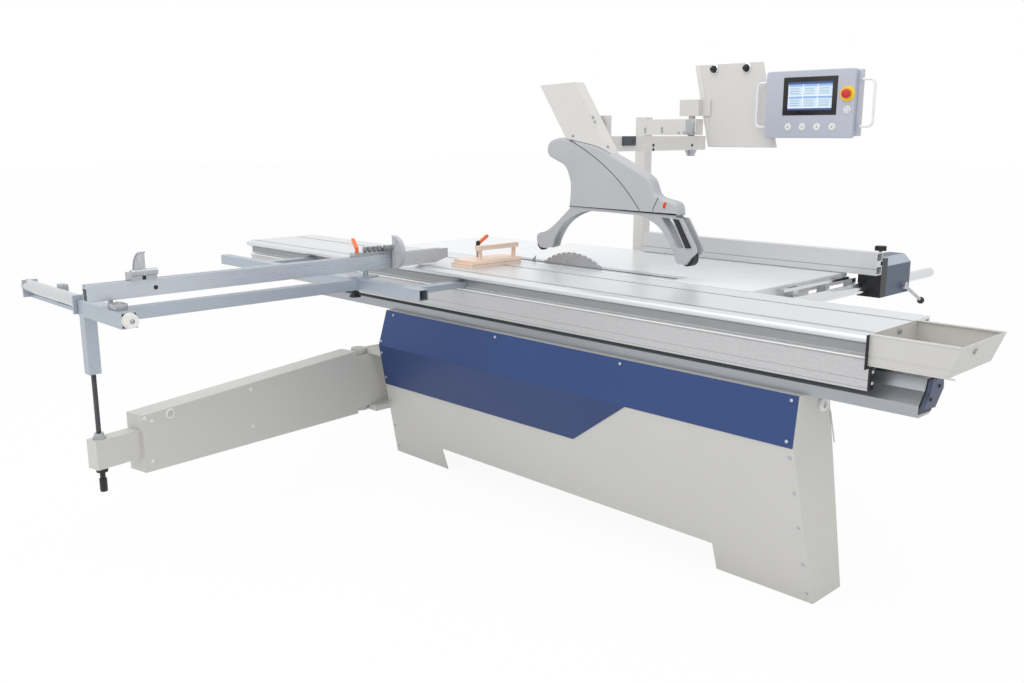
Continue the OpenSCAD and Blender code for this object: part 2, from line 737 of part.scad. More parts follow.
module arm_inner() color(beige) on_arm()
    difference() {
        block([-inner_w / 2, inner_y0, inner_z - inner_h / 2],
            [inner_w / 2, inner_y0 + inner_l, inner_z + inner_h / 2]);
        block([-inner_w / 2 + arm_wall, inner_y0 + arm_wall, inner_z - inner_h / 2 + arm_wall],
            [inner_w / 2 - arm_wall, inner_y0 + inner_l + cut, inner_z + inner_h / 2 - arm_wall]);
        rod_z(0, -arm_reach, inner_z - inner_h, inner_z + inner_h, rod_r + run);
    }
module support_rod() color(steel) on_arm() {
    rod_z(0, -arm_reach, rod_z0, leg_foot_z - 2 * slip, rod_r);
    for (z = [inner_z + inner_h / 2, inner_z - inner_h / 2 - nut_h])
        difference() {
            rod_z(0, -arm_reach, z, z + nut_h, nut_r);
            rod_z(0, -arm_reach, z - cut, z + nut_h + cut, rod_r);
        }
}
module arm_hinge() color(steel) {
    rod_z(hinge_x, hinge_y, arm_root_z0, arm_root_z1, hinge_pin_r);
    for (z = [arm_root_z0, arm_root_z1 - hinge_lug_t])
        difference() {
            union() {
                rod_z(hinge_x, hinge_y, z, z + hinge_lug_t, hinge_lug_w / 2);
                block([hinge_x, hinge_y + hinge_lug_in, z],
                    [stand_x0 + stand_lean * (z + hinge_lug_t) / stand_z1, stand_c[0], z + hinge_lug_t]);
            }
            stand_shape(0);
            rod_z(hinge_x, hinge_y, z - cut, z + hinge_lug_t + cut, hinge_pin_r);
        }
}

// Crosscut fence: it turns on the outrigger's pin.
fence_x1 = mitre_x + fence_t / 2;
fence_x0 = fence_x1 - fence_t;
fence_out = 1310;
fence_y0 = carriage_y0 - fence_out;
fence_y1 = fence_y0 + fence_l;
fence_z0 = top + fence_gap;
fence_z1 = fence_z0 + fence_h;
fence_wall = 4;
fence_slot_w = 10;
fence_slot_d = 8;
fence_bush_r = 16;
fence_nose_l = 70;
fence_nose_h = 18;
module crosscut_fence() color(alu)
    difference() {
        union() {
            difference() {
                block([fence_x0, fence_y0, fence_z0], [fence_x1, fence_y1, fence_z1]);
                block([fence_x0 + fence_wall, fence_y0 - cut, fence_z0 + fence_wall],
                    [fence_x1 - fence_wall, fence_y1 + cut, fence_z1 - fence_slot_d - fence_wall]);
                block([mitre_x - fence_slot_w / 2, fence_y0 - cut, fence_z1 - fence_slot_d],
                    [mitre_x + fence_slot_w / 2, fence_y1 + cut, fence_z1 + cut]);
            }
            rod_z(mitre_x, mitre_y, fence_z0, fence_z1 - fence_slot_d - fence_wall / 2, fence_bush_r);
        }
        rod_z(mitre_x, mitre_y, fence_z0 - cut, top + mitre_h + 2 * slip, mitre_r + run);
        translate([fence_x1, fence_y1, fence_z0 - cut]) rotate([0, 0, 45])
            block([-fence_l, 0, 0], [fence_l, fence_l, fence_h + 2 * cut]);
        along_x(fence_x0 - cut, fence_x1 + cut)
            polygon([[fence_y1 - fence_nose_l, fence_z0 - cut], [fence_y1 + cut, fence_z0 + fence_nose_h],
                [fence_y1 + cut, fence_z0 - cut]]);
    }
// A stop: a foot in the fence's slot and a flip plate.
stop_ear_l = 36;
stop_plate_t = 12;
stop_hub_r = 11;
stop_pin_r = 4;
stop_pivot_out = 8;
stop_pivot_up = 25;
stop_a_in = 178;
stop_b_in = 280;
stop_pivot_x = fence_x1 + stop_pivot_out;
stop_pivot_z = fence_z1 + stop_pivot_up;
stop_a_y = fence_y0 + stop_a_in;
stop_b_y = fence_y1 - stop_b_in;
module stop_base(y) {
    half = stop_plate_t / 2 + slip;
    difference() {
        union() {
            for (y0 = [y - half - stop_ear_l, y + half]) {
                rod_y(stop_pivot_x, y0, y0 + stop_ear_l, stop_pivot_z, stop_hub_r);
                block([fence_x0, y0, fence_z1 + slip], [stop_pivot_x, y0 + stop_ear_l, stop_pivot_z]);
            }
            block([fence_x0, y - half - stop_ear_l, fence_z1 + slip],
                [fence_x0 + fence_t / 3, y + half + stop_ear_l, stop_pivot_z - stop_hub_r]);
            block([mitre_x - fence_slot_w / 2 + slip, y - half - stop_ear_l, fence_z1 - fence_slot_d + slip],
                [mitre_x + fence_slot_w / 2 - slip, y - half, fence_z1 + 2 * slip]);
        }
        rod_y(stop_pivot_x, y - half - stop_ear_l - cut, y + half + stop_ear_l + cut, stop_pivot_z,
            stop_pin_r + run);
    }
}
module stop_hub(y) {
    rod_y(stop_pivot_x, y - stop_plate_t / 2, y + stop_plate_t / 2, stop_pivot_z, stop_hub_r);
    rod_y(stop_pivot_x, y - stop_plate_t / 2 - stop_ear_l, y + stop_plate_t / 2 + stop_ear_l, stop_pivot_z,
        stop_pin_r);
}
module stop_a_base() color(steel) stop_base(stop_a_y);
module stop_a_flap() color(hood_grey) {
    stop_hub(stop_a_y);
    intersection() {
        rod_y(stop_pivot_x, stop_a_y - stop_plate_t / 2, stop_a_y + stop_plate_t / 2, stop_pivot_z, stop_r);
        block([stop_pivot_x - stop_r, stop_a_y - stop_plate_t, stop_pivot_z],
            [stop_pivot_x, stop_a_y + stop_plate_t, stop_pivot_z + stop_r]);
    }
}
lever_post_h = 10;
lever_post_r = 7;
lever_l = 62;
lever_w = 12;
stop_foot_l = 130;
stop_lever_in = 20;
stop_b_drop = 7;
stop_foot_y0 = stop_b_y - stop_plate_t / 2 - stop_ear_l - stop_foot_l;
stop_lever_y = stop_foot_y0 + stop_lever_in;
module stop_b_base() color(steel) {
    stop_base(stop_b_y);
    difference() {
        block([fence_x0, stop_foot_y0, fence_z1 + slip],
            [fence_x1, stop_foot_y0 + stop_foot_l + slip, stop_pivot_z - stop_hub_r]);
        rod_z(mitre_x, stop_lever_y, fence_z1, stop_pivot_z, lever_post_r / 2 + run);
    }
}
module stop_b_flap() color(hood_grey) {
    plate_z = stop_pivot_z - stop_hub_r - stop_b_drop;
    stop_hub(stop_b_y);
    intersection() {
        rod_y(stop_pivot_x, stop_b_y - stop_plate_t / 2, stop_b_y + stop_plate_t / 2, plate_z, stop_r);
        block([stop_pivot_x, stop_b_y - stop_plate_t, plate_z - stop_r],
            [stop_pivot_x + stop_r, stop_b_y + stop_plate_t, plate_z + stop_r]);
    }
}
// A clamp lever: a post in its bore and a rising arm.
module clamp_lever(x, y, z, turn) {
    translate([x, y, z]) rotate([0, 0, turn]) {
        translate([0, 0, -lever_post_h]) cylinder(h = 2 * lever_post_h, r = lever_post_r / 2);
        translate([0, 0, slip]) cylinder(h = 2 * lever_post_h, r = lever_post_r);
        translate([0, 0, lever_post_h]) rotate([0, -lever_rise, 180])
            block([0, -lever_w / 2, 0], [lever_l, lever_w / 2, lever_post_h]);
    }
}
lever_rise = 30;
stop_lever_turn = -20;
module stop_lever() color(orange)
    clamp_lever(mitre_x, stop_lever_y, stop_pivot_z - stop_hub_r, stop_lever_turn);

// Edging shoe: a board with a handle bar in the carriage's slot.
shoe_far = 1420;
shoe_x0 = carriage_x0 + shoe_far;
shoe_l = 122;
shoe_front = 172;
shoe_back = 97;
shoe_t = 26;
shoe_x1 = shoe_x0 + shoe_l;
shoe_y0 = slot_y - shoe_front;
shoe_y1 = slot_y + shoe_back;
shoe_z0 = top + slip;
shoe_z1 = shoe_z0 + shoe_t;
shoe_lip = 14;
shoe_bar_h = 18;
shoe_bar_up = 38;
shoe_bar_z = shoe_z1 + shoe_bar_up;
shoe_bar_w = 22;
shoe_bar_in = 50;
shoe_bar_x = shoe_x1 - shoe_bar_w * 1.2;
shoe_bar_y0 = shoe_y0 + shoe_bar_in;
shoe_lever_in = 128;
shoe_lever_side = 18;
shoe_lever_x = shoe_x0 + shoe_lever_side;
shoe_stud_h = 38;
shoe_lever_y = shoe_y0 + shoe_lever_in;
shoe_post = 12;
shoe_bolt_r = slot_w / 2 - slip;
shoe_mid_x = (shoe_x0 + shoe_x1) / 2;
module edging_shoe() {
    wood = [0.8, 0.6, 0.42];
    color(wood) {
        difference() {
            block([shoe_x0, shoe_y0, shoe_z0], [shoe_x1, shoe_y1, shoe_z1]);
            block([shoe_x0 - cut, shoe_y0 - cut, shoe_z0 + shoe_t / 2], [shoe_x1 + cut, shoe_y0 + shoe_lip,
                shoe_z1 + cut]);
            rod_z(shoe_mid_x, slot_y, shoe_z0 - cut, shoe_z1 + cut, shoe_bolt_r);
        }
        for (y = [shoe_bar_y0 + shoe_post, shoe_y1 - 2 * shoe_post])
            block([shoe_bar_x - shoe_post / 2, y, shoe_z1], [shoe_bar_x + shoe_post / 2, y + shoe_post, shoe_bar_z]);
        block([shoe_bar_x - shoe_bar_w / 2, shoe_bar_y0, shoe_bar_z], [shoe_bar_x + shoe_bar_w / 2, shoe_y1,
            shoe_bar_z + shoe_bar_h]);
    }
    color(steel) {
        difference() {
            rod_z(shoe_lever_x, shoe_lever_y, shoe_z1 - lever_post_h, shoe_z1 + shoe_stud_h, lever_post_r);
            rod_z(shoe_lever_x, shoe_lever_y, shoe_z1 + lever_post_h, shoe_z1 + shoe_stud_h + cut,
                lever_post_r / 2 + run);
        }
        rod_z(shoe_mid_x, slot_y, top - tee_z0 + slip, shoe_z1, shoe_bolt_r);
        block([shoe_mid_x - tee_w / 2, slot_y - tee_w / 2 + slip, top - tee_z0 + slip],
            [shoe_mid_x + tee_w / 2, slot_y + tee_w / 2 - slip, top - tee_z0 + tee_h - slip]);
    }
}
shoe_lever_turn = -90;
module shoe_lever() color(orange)
    clamp_lever(shoe_lever_x, shoe_lever_y, shoe_z1 + shoe_stud_h, shoe_lever_turn);

// Rip fence: bar on the table's edge, carrier and fence.
rip_bar_out = 70;
rip_bar_drop = 50;
rip_bar_over = 580;
rip_bar_x = table_x1 + rip_bar_out;
rip_bar_z = top - rip_bar_drop;
rip_bar_flat = 2;
rip_bar_y1 = table_y1 + rip_bar_over;
rip_bar_y0 = rip_bar_y1 - rip_bar_l;
rip_lug_w = 30;
rip_lug_h = 18;
rip_lug_l = 34;
rip_lug_shares = [0.08, 0.28, 0.46];
rip_flat_x = rip_bar_x - rip_bar_d / 2 + rip_bar_flat;
scale_gap = 6;
scale_w = 26;
scale_h = 10;
scale_drop = 18;
scale_l = 460;
scale_slot_w = 8;
scale_slot_l = 60;
scale_slot_shares = [0.1, 0.75];
module rip_bar() color(alu) {
    lug_z1 = top - scale_drop;
    difference() {
        rod_y(rip_bar_x, rip_bar_y0, rip_bar_y1, rip_bar_z, rip_bar_d / 2);
        block([rip_bar_x - rip_bar_d, rip_bar_y0 - cut, rip_bar_z - rip_bar_d], [rip_flat_x, rip_bar_y1 + cut,
            rip_bar_z + rip_bar_d]);
    }
    for (s = rip_lug_shares) {
        y = rip_bar_y0 + s * rip_bar_l;
        block([table_x1, y, rip_bar_z - rip_lug_h / 2], [rip_flat_x, y + rip_lug_w, rip_bar_z + rip_lug_h / 2]);
        block([table_x1, y, rip_bar_z - rip_lug_h / 2], [table_x1 + rip_lug_l, y + rip_lug_w, lug_z1]);
    }
    difference() {
        block([table_x1 + scale_gap, rip_bar_y0 + rip_lug_w, lug_z1],
            [table_x1 + scale_gap + scale_w, rip_bar_y0 + rip_lug_w + scale_l, lug_z1 + scale_h]);
        for (s = scale_slot_shares)
            block([table_x1 + scale_gap + scale_w / 2 - scale_slot_w / 2, rip_bar_y0 + rip_lug_w + s * scale_l,
                lug_z1 - cut], [table_x1 + scale_gap + scale_w / 2 + scale_slot_w / 2,
                rip_bar_y0 + rip_lug_w + s * scale_l + scale_slot_l, lug_z1 + scale_h + cut]);
    }
}
rip_over = 60;
rip_in = 35;
rip_lift = 3;
rip_x1 = rip_bar_x + rip_over;
rip_x0 = rip_x1 - rip_l;
rip_y0 = table_y1 - rip_in;
rip_y1 = rip_y0 + rip_t;
rip_z0 = top + rip_lift;
rip_z1 = rip_z0 + rip_h;
rip_wall = 4;
rip_groove_z = rip_z0 + rip_h / 2;
rip_groove_h = 15;
rip_groove_d = 11;
carrier_in = 30;
carrier_x0 = rip_bar_x - carrier_in;
carrier_x1 = rip_x1;
carrier_gap = 1;
carrier_y0 = rip_y1 + carrier_gap;
carrier_l = 244;
carrier_y1 = carrier_y0 + carrier_l;
carrier_drop = 35;
carrier_up = 60;
carrier_z0 = rip_bar_z - carrier_drop;
carrier_z1 = top + carrier_up;
carrier_slot_gap = 4;
carrier_slot_h = rip_lug_h + 2 * carrier_slot_gap;
knob_r = 22;
knob_h = 18;
knob_stem_r = 6;
knob_stem_h = 22;
knob_in = 76;
knob_y = carrier_y0 + knob_in;
knob_side = 45;
knob_x = carrier_x1 - knob_side;
carrier_bevel = 28;
carrier_plate = 46;
rip_lever_out = 10;
rip_lever_in = 184;
rip_lever_low = 5;
rip_lever_x = carrier_x1 + rip_lever_out;
rip_lever_y = carrier_y0 + rip_lever_in;
rip_lever_z = rip_bar_z - rip_lever_low;
rip_lever_l = 190;
rip_lever_drop = 26;
rip_lever_r = 7;
rip_lever_hub = 14;
rip_ball_r = 14;
module rip_carrier() color(black)
    difference() {
        union() {
            block([carrier_x0, carrier_y0, carrier_z0], [carrier_x1, carrier_y1, carrier_z1]);
            block([carrier_x0 + rip_wall, carrier_y0 - rip_groove_d, rip_groove_z - rip_groove_h / 2 + slip],
                [carrier_x1 - rip_wall, carrier_y0 + cut, rip_groove_z + rip_groove_h / 2 - slip]);
        }
        rod_y(rip_bar_x, carrier_y0 - cut, carrier_y1 + cut, rip_bar_z, rip_bar_d / 2 + run);
        block([carrier_x0 - cut, carrier_y0 - cut, rip_bar_z - carrier_slot_h / 2 - slip],
            [rip_bar_x, carrier_y1 + cut, rip_bar_z + carrier_slot_h / 2]);
        rod_z(knob_x, knob_y, carrier_z1 - knob_stem_h, carrier_z1 + cut, knob_stem_r + run);
        along_y(carrier_y0 + carrier_plate, carrier_y1 + cut)
            polygon([[carrier_x1 - carrier_bevel, carrier_z1], [carrier_x1 - carrier_bevel, carrier_z1 + cut],
                [carrier_x1 + cut, carrier_z1 + cut], [carrier_x1 + cut, carrier_z1 - carrier_bevel],
                [carrier_x1, carrier_z1 - carrier_bevel]]);
        rod_x(carrier_x1 - rip_lever_hub, carrier_x1 + cut, rip_lever_y, rip_lever_z, rip_lever_r + run);
    }
module rip_fence() color(alu)
    difference() {
        block([rip_x0, rip_y0, rip_z0], [rip_x1, rip_y1, rip_z1]);
        block([rip_x0 - cut, rip_y1 - rip_groove_d - slip, rip_groove_z - rip_groove_h / 2],
            [rip_x1 + cut, rip_y1 + cut, rip_groove_z + rip_groove_h / 2]);
        for (z = [rip_z0 + rip_wall, rip_groove_z + rip_groove_h / 2 + rip_wall])
            block([rip_x0 - cut, rip_y0 + rip_wall, z],
                [rip_x1 + cut, rip_y1 - rip_wall, z + rip_h / 2 - rip_groove_h / 2 - 2 * rip_wall]);
    }
module rip_lever() color(black) {
    rod_x(carrier_x1 - rip_lever_hub + slip, rip_lever_x, rip_lever_y, rip_lever_z, rip_lever_r);
    rod_x(carrier_x1 + slip, rip_lever_x + rip_lever_r, rip_lever_y, rip_lever_z, rip_lever_hub);
    translate([rip_lever_x, rip_lever_y, rip_lever_z]) rotate([-90 - rip_lever_drop, 0, 0]) {
        cylinder(h = rip_lever_l - rip_ball_r, r = rip_lever_r - slip);
        translate([0, 0, rip_lever_l - rip_ball_r]) sphere(r = rip_ball_r, $fn = 40);
    }
}
knob_lobes = 5;
knob_lobe_r = 6;
module rip_knob() color(black) {
    rod_z(knob_x, knob_y, carrier_z1 - knob_stem_h + slip, carrier_z1 + knob_stem_h, knob_stem_r);
    rod_z(knob_x, knob_y, carrier_z1 + knob_stem_h, carrier_z1 + knob_stem_h + knob_h, knob_r - knob_lobe_r);
    for (k = [0 : knob_lobes - 1])
        rotate_about(knob_x, knob_y, k * 360 / knob_lobes)
            rod_z(knob_x + knob_r - knob_lobe_r, knob_y, carrier_z1 + knob_stem_h + slip,
                carrier_z1 + knob_stem_h + knob_h - slip, knob_lobe_r);
}
module rotate_about(x, y, angle) {
    translate([x, y, 0]) rotate([0, 0, angle]) translate([-x, -y, 0]) children();
}

// Saw unit: cradle on arc trunnions, and a rise arm.
arbor_z = top + blade_show - blade_d / 2;
pivot_z = top - pivot_drop;
arbor_x = -50;
pivot_x = arbor_x + sqrt(rise_l * rise_l - (arbor_z - pivot_z) * (arbor_z - pivot_z));
arc_in = 150;
arc_out = 170;
arc_low = 205;
arc_slack = 2;
tilt_span = 45;
tongue_span = 24;
arc_span = tongue_span + tilt_span + arc_slack;
trunnion_t = 20;
trunnion_far = -520;
trunnion_near = 510;
trunnion_back = 200;
trunnion_front = 40;
cradle_back = 84;
cradle_y0 = blade_y + cradle_back;
cradle_t = 12;
cradle_y1 = cradle_y0 + cradle_t;
cradle_top = 182;
cradle_low = 590;
cradle_shoulder = 50;
trunnion_gap = 1;
cradle_x0 = trunnion_far + trunnion_t + trunnion_gap;
cradle_x1 = trunnion_near - trunnion_gap;
end_t = 12;
arm_back = 12;
arm_y0 = blade_y + arm_back;
arm_t = 12;
ear_gap = 6;
ear_y0 = arm_y0 + arm_t + ear_gap;
ear_t = 12;
ear_w = 120;
ear_h = 70;
pivot_r = 20;
pivot_over = 2;
boss_r = 34;
housing_l = 38;
housing_y1 = arm_y0 + housing_l;
arbor_r = 15;
arbor_step = 2;
flange_r = 50;
flange_t = 8;
nut_flange_t = 12;
arbor_pulley_r = 32;
motor_pulley_r = 40;
pulley_gap = 4;
pulley_w = 20;
pulley_y0 = housing_y1 + pulley_gap;
pulley_y1 = pulley_y0 + pulley_w;
belt_t = 5;
motor_r = 90;
motor_l = 160;
motor_shaft_r = 14;
scorer_x = 380;
scorer_show = 2;
scorer_z = top - scorer_d / 2 + scorer_show;
scorer_t = 3;
scorer_arm_y0 = arm_y0;
scorer_arm_t = 8;
scorer_arm_y1 = scorer_arm_y0 + scorer_arm_t;
scorer_arm_w = 32;
scorer_shaft_r = 8;
scorer_pulley_r = 14;
scorer_pulley_l = 10;
scorer_arm_low = 230;
// Points of the tilt arcs; angles count from straight down.
function arc_point(r, a) = [blade_y + r * sin(a), top - r * cos(a)];
module tilt_ring(x0, x1, r0, r1, a0, a1) {
    translate([x0, blade_y, top]) rotate([0, 90, 0]) rotate([0, 0, a0])
        rotate_extrude(angle = a1 - a0, $fn = 128) translate([r0, 0]) square([r1 - r0, x1 - x0]);
}
module trunnions() color(iron)
    for (x = [trunnion_far, trunnion_near])
        difference() {
            block([x, blade_y - trunnion_front, top - arc_low], [x + trunnion_t, blade_y + trunnion_back,
                top - table_plate]);
            tilt_ring(x - cut, x + trunnion_t + cut, arc_in, arc_out, -arc_slack, arc_span);
        }
module tilt_cradle() color(iron)
    difference() {
        union() {
            block([cradle_x0, cradle_y0, top - cradle_low], [cradle_x1, cradle_y1, top - cradle_top]);
            for (x = [cradle_x0, cradle_x1 - end_t])
                along_x(x, x + end_t)
                    polygon([arc_point(arc_in, arc_slack), [blade_y + cradle_shoulder, top - arc_in],
                        [cradle_y1, top - cradle_top], [cradle_y1, top - cradle_low],
                        [blade_y + arm_t, top - cradle_low], arc_point(arc_out, arc_slack)]);
            for (x = [trunnion_far, trunnion_near])
                tilt_ring(x < 0 ? x : cradle_x1 - end_t, x < 0 ? cradle_x0 + end_t : x + trunnion_t,
                    arc_in + slip, arc_out - slip, arc_slack, tongue_span);
            block([pivot_x - ear_w / 2, ear_y0, top - cradle_low], [pivot_x + ear_w / 2, cradle_y0 + cut,
                top - cradle_low + ear_t]);
            block([pivot_x - ear_w / 2, ear_y0, top - cradle_low], [pivot_x + ear_w / 2, ear_y0 + ear_t,
                pivot_z + ear_h / 2]);
            rod_y(pivot_x, arm_y0 - pivot_over, ear_y0 + cut, pivot_z, pivot_r);
            block([scorer_x - scorer_arm_w / 2, scorer_arm_y0, top - scorer_arm_low],
                [scorer_x + scorer_arm_w / 2, cradle_y0 + cut, top - scorer_arm_low + 2 * scorer_arm_w]);
            block([scorer_x - scorer_arm_w / 2, scorer_arm_y0, top - scorer_arm_low],
                [scorer_x + scorer_arm_w / 2, scorer_arm_y1, scorer_z]);
            rod_y(scorer_x, scorer_arm_y0, scorer_arm_y1, scorer_z, scorer_arm_w / 2);
        }
        rod_y(pivot_x, cradle_y0 - cut, cradle_y1 + cut, pivot_z, motor_shaft_r + arbor_step);
        rod_y(scorer_x, scorer_arm_y0 - cut, scorer_arm_y1 + cut, scorer_z, scorer_shaft_r + run);
    }
module drive_motor() color(hood_grey)
    difference() {
        rod_y(pivot_x, cradle_y1, cradle_y1 + motor_l, pivot_z, motor_r);
        rod_y(pivot_x, cradle_y1 - cut, cradle_y1 + motor_l / 2, pivot_z, motor_shaft_r + run);
    }
module motor_pulley() color(steel) {
    rod_y(pivot_x, pulley_y0, cradle_y1 + motor_l / 2 - cut, pivot_z, motor_shaft_r);
    rod_y(pivot_x, pulley_y0, pulley_y1, pivot_z, motor_pulley_r);
}
// The rise arm, from its pivot to the riving knife's seat.
rise_w = 46;
arm_step = 1;
knife_seat_x = -345;
knife_seat_drop = 250;
knife_seat_z = top - knife_seat_drop;
module arm_bar(x0, z0, x1, z1, w, y0, y1) {
    l = norm([x1 - x0, z1 - z0]);
    translate([x0, 0, z0]) rotate([0, -atan2(z1 - z0, x1 - x0), 0])
        block([0, y0, -w / 2], [l, y1, w / 2]);
}
module rise_arm() color(iron)
    difference() {
        union() {
            arm_bar(pivot_x, pivot_z, arbor_x, arbor_z, rise_w, arm_y0 + arm_step, arm_y0 + arm_t - arm_step);
            arm_bar(arbor_x, arbor_z, knife_seat_x, knife_seat_z, rise_w - 2 * arm_step,
                arm_y0 + 2 * arm_step, arm_y0 + arm_t - 2 * arm_step);
            rod_y(pivot_x, arm_y0, arm_y0 + arm_t, pivot_z, boss_r);
            rod_y(arbor_x, arm_y0, housing_y1, arbor_z, boss_r);
            rod_y(knife_seat_x, arm_y0, arm_y0 + arm_t, knife_seat_z, boss_r);
            rod_y(knife_seat_x, blade_y + knife_t / 2, arm_y0 + cut, knife_seat_z, knife_clamp_r);
        }
        rod_y(pivot_x, arm_y0 - cut, arm_y0 + arm_t + cut, pivot_z, pivot_r + run);
        rod_y(arbor_x, arm_y0 - cut, housing_y1 + cut, arbor_z, arbor_r + run);
    }
knife_t = 3;
knife_gap = 8;
knife_w = 36;
knife_clamp_r = 18;
knife_rise = 25;
module riving_knife() color(steel)
    along_y(blade_y - knife_t / 2, blade_y + knife_t / 2)
        difference() {
            intersection() {
                translate([arbor_x, arbor_z]) circle(r = blade_d / 2 + knife_gap + knife_w, $fn = 128);
                polygon([[knife_seat_x + knife_clamp_r, knife_seat_z - knife_clamp_r],
                    [knife_seat_x - 2 * knife_w, knife_seat_z - knife_clamp_r],
                    [knife_seat_x - 2 * knife_w, top + knife_rise],
                    [arbor_x - blade_d / 2 + 2 * knife_w, top + knife_rise]]);
            }
            translate([arbor_x, arbor_z]) circle(r = blade_d / 2 + knife_gap, $fn = 128);
        }
// The belt: an open loop round both pulleys, clear of them.
belt_steps = 24;
function belt_arc(x, z, r, a0, a1) = [
    for (k = [0 : belt_steps]) let (a = a0 + (a1 - a0) * k / belt_steps) [x + r * cos(a), z + r * sin(a)]];
module belt_loop(extra) {
    turn = atan2(arbor_z - pivot_z, arbor_x - pivot_x);
    lean = acos((motor_pulley_r - arbor_pulley_r) / rise_l);
    polygon(concat(belt_arc(pivot_x, pivot_z, motor_pulley_r + extra, turn + lean, turn + 360 - lean),
        belt_arc(arbor_x, arbor_z, arbor_pulley_r + extra, turn - lean, turn + lean)));
}
belt_edge = 3;
module drive_belt() color(black)
    along_y(pulley_y0 + belt_edge, pulley_y1 - belt_edge)
        difference() {
            belt_loop(slip + belt_t);
            belt_loop(slip);
        }
module saw_arbor() color(steel) {
    rod_y(arbor_x, blade_y + blade_t / 2, pulley_y1 + arbor_step, arbor_z, arbor_r);
    rod_y(arbor_x, blade_y - blade_t / 2 - nut_flange_t, blade_y + blade_t / 2 + cut, arbor_z, arbor_r - arbor_step);
    rod_y(arbor_x, blade_y + blade_t / 2, blade_y + blade_t / 2 + flange_t, arbor_z, flange_r);
    rod_y(arbor_x, pulley_y0, pulley_y1, arbor_z, arbor_pulley_r);
    difference() {
        rod_y(arbor_x, blade_y - blade_t / 2 - nut_flange_t, blade_y - blade_t / 2, arbor_z, flange_r);
        rod_y(arbor_x, blade_y - blade_t / 2 - nut_flange_t - cut, blade_y, arbor_z, arbor_r - arbor_step);
    }
}
gullet_r = 5;
module saw_blade() color(steel)
    along_y(blade_y - blade_t / 2, blade_y + blade_t / 2)
        translate([arbor_x, arbor_z])
            difference() {
                circle(r = blade_d / 2, $fn = 180);
                circle(r = arbor_r - arbor_step + run);
                for (k = [0 : blade_teeth - 1])
                    rotate(k * 360 / blade_teeth)
                        polygon([[blade_d / 2 + cut, 0], [blade_d / 2 - 2 * gullet_r, gullet_r],
                            [blade_d / 2 + cut, 2.4 * gullet_r]]);
            }
module scoring_blade() color(steel) {
    rod_y(scorer_x, blade_y - scorer_t / 2, blade_y + scorer_t / 2, scorer_z, scorer_d / 2);
    rod_y(scorer_x, blade_y - scorer_t, scorer_arm_y1 + scorer_pulley_l, scorer_z, scorer_shaft_r);
    rod_y(scorer_x, blade_y + scorer_t / 2, scorer_arm_y0 - 2 * slip, scorer_z, 2 * scorer_shaft_r);
    rod_y(scorer_x, scorer_arm_y1 + slip, scorer_arm_y1 + scorer_pulley_l, scorer_z, scorer_pulley_r);
}

// Guard: column, head arm with its pin, boom and hood.
column_x = -230;
column_out = 55;
column_y = table_y1 + column_out;
column_z0 = 780;
column_z1 = top + column_h;
column_foot_drop = 5;
head_drop = 10;
head_h = 66;
head_z1 = column_z1 - head_drop;
head_z0 = head_z1 - head_h;
pin_x = 25;
pin_r = 14;
pin_below = 88;
pin_above = 80;
pin_z0 = head_z0 - pin_below;
pin_z1 = head_z1 + pin_above;
head_over = 40;
column_wall = 4;
boom_w = 64;
boom_h = 58;
boom_gap = 4;
boom_z1 = head_z0 - boom_gap;
boom_z0 = boom_z1 - boom_h;
boom_tail = 60;
hood_y0 = blade_y - hood_w / 2;
hood_y1 = blade_y + hood_w / 2;
lift_gap = 2;
lift_t = 10;
lift_y0 = hood_y1 + lift_gap;
lift_y1 = lift_y0 + lift_t;
guide_t = 12;
guide_w = 130;
guide_h = 150;
guide_low = 15;
guide_y0 = lift_y1 + lift_gap;
boom_y0 = guide_y0 + guide_t;
guide_z0 = boom_z0 - guide_low;
stud_r = 7;
stud_gap = 60;
lift_down = 50;
lift_up = 110;
lift_rib_w = 36;
lift_rib_h = 42;
duct_w = 50;
duct_y0 = blade_y - duct_w / 2;
duct_y1 = blade_y + duct_w / 2;
duct_wall = 3;
hood_far = 168;
hood_x0 = -hood_far;
hood_up = 224;
hood_z0 = top + hood_up;
hood_shares = [[0.18, 0.03], [0.19, 0.26], [0.183, 0.424], [0.141, 0.606], [0.065, 0.684], [0, 0.766],
    [0.006, 0.93], [0.09, 1], [0.186, 0.978], [0.397, 0.892], [0.539, 0.762], [0.663, 0.636], [0.79, 0.48],
    [0.847, 0.26], [0.979, 0.178], [1, 0.02]];
module guard_column() color(beige) {
    difference() {
        post(column_x, column_y, column_s, column_z0, column_z1);
        post(column_x, column_y, column_s - 2 * column_wall, column_z0 - cut, column_z1 - column_wall);
    }
    block([column_x - column_s, table_y1, column_z0 + column_s], [column_x + column_s, column_y - column_s / 2,
        top - column_foot_drop]);
    block([column_x + column_s / 2, column_y - column_s / 2, head_z0],
        [pin_x + head_over, column_y + column_s / 2, head_z1]);
    rod_z(pin_x, column_y, pin_z0, pin_z1, pin_r);
}
module guard_boom() color(beige)
    difference() {
        union() {
            block([pin_x - boom_w / 2, boom_y0, boom_z0], [pin_x + boom_w / 2, column_y + boom_tail, boom_z1]);
            block([pin_x - guide_w / 2, guide_y0, guide_z0], [pin_x + guide_w / 2, boom_y0, guide_z0 + guide_h]);
            for (x = [pin_x - stud_gap / 2, pin_x + stud_gap / 2])
                rod_y(x, lift_y0, guide_y0 + cut, boom_z0 + boom_h / 2, stud_r);
        }
        block([pin_x - boom_w / 2 + column_wall, boom_y0 + column_wall, boom_z0 + column_wall],
            [pin_x + boom_w / 2 - column_wall, column_y - boom_w / 2, boom_z1 - column_wall]);
        rod_z(pin_x, column_y, boom_z0 - cut, boom_z1 + cut, pin_r + run);
    }
function on_hood(shares) = placed(shares, hood_x0, hood_z0, hood_l, hood_h);
hood_mouth_shares = [[0.187, -0.01], [0.987, -0.01], [0.987, 0.05], [0.187, 0.05]];
module hood_outline() polygon(smooth_run(on_hood(hood_shares), curve_steps));
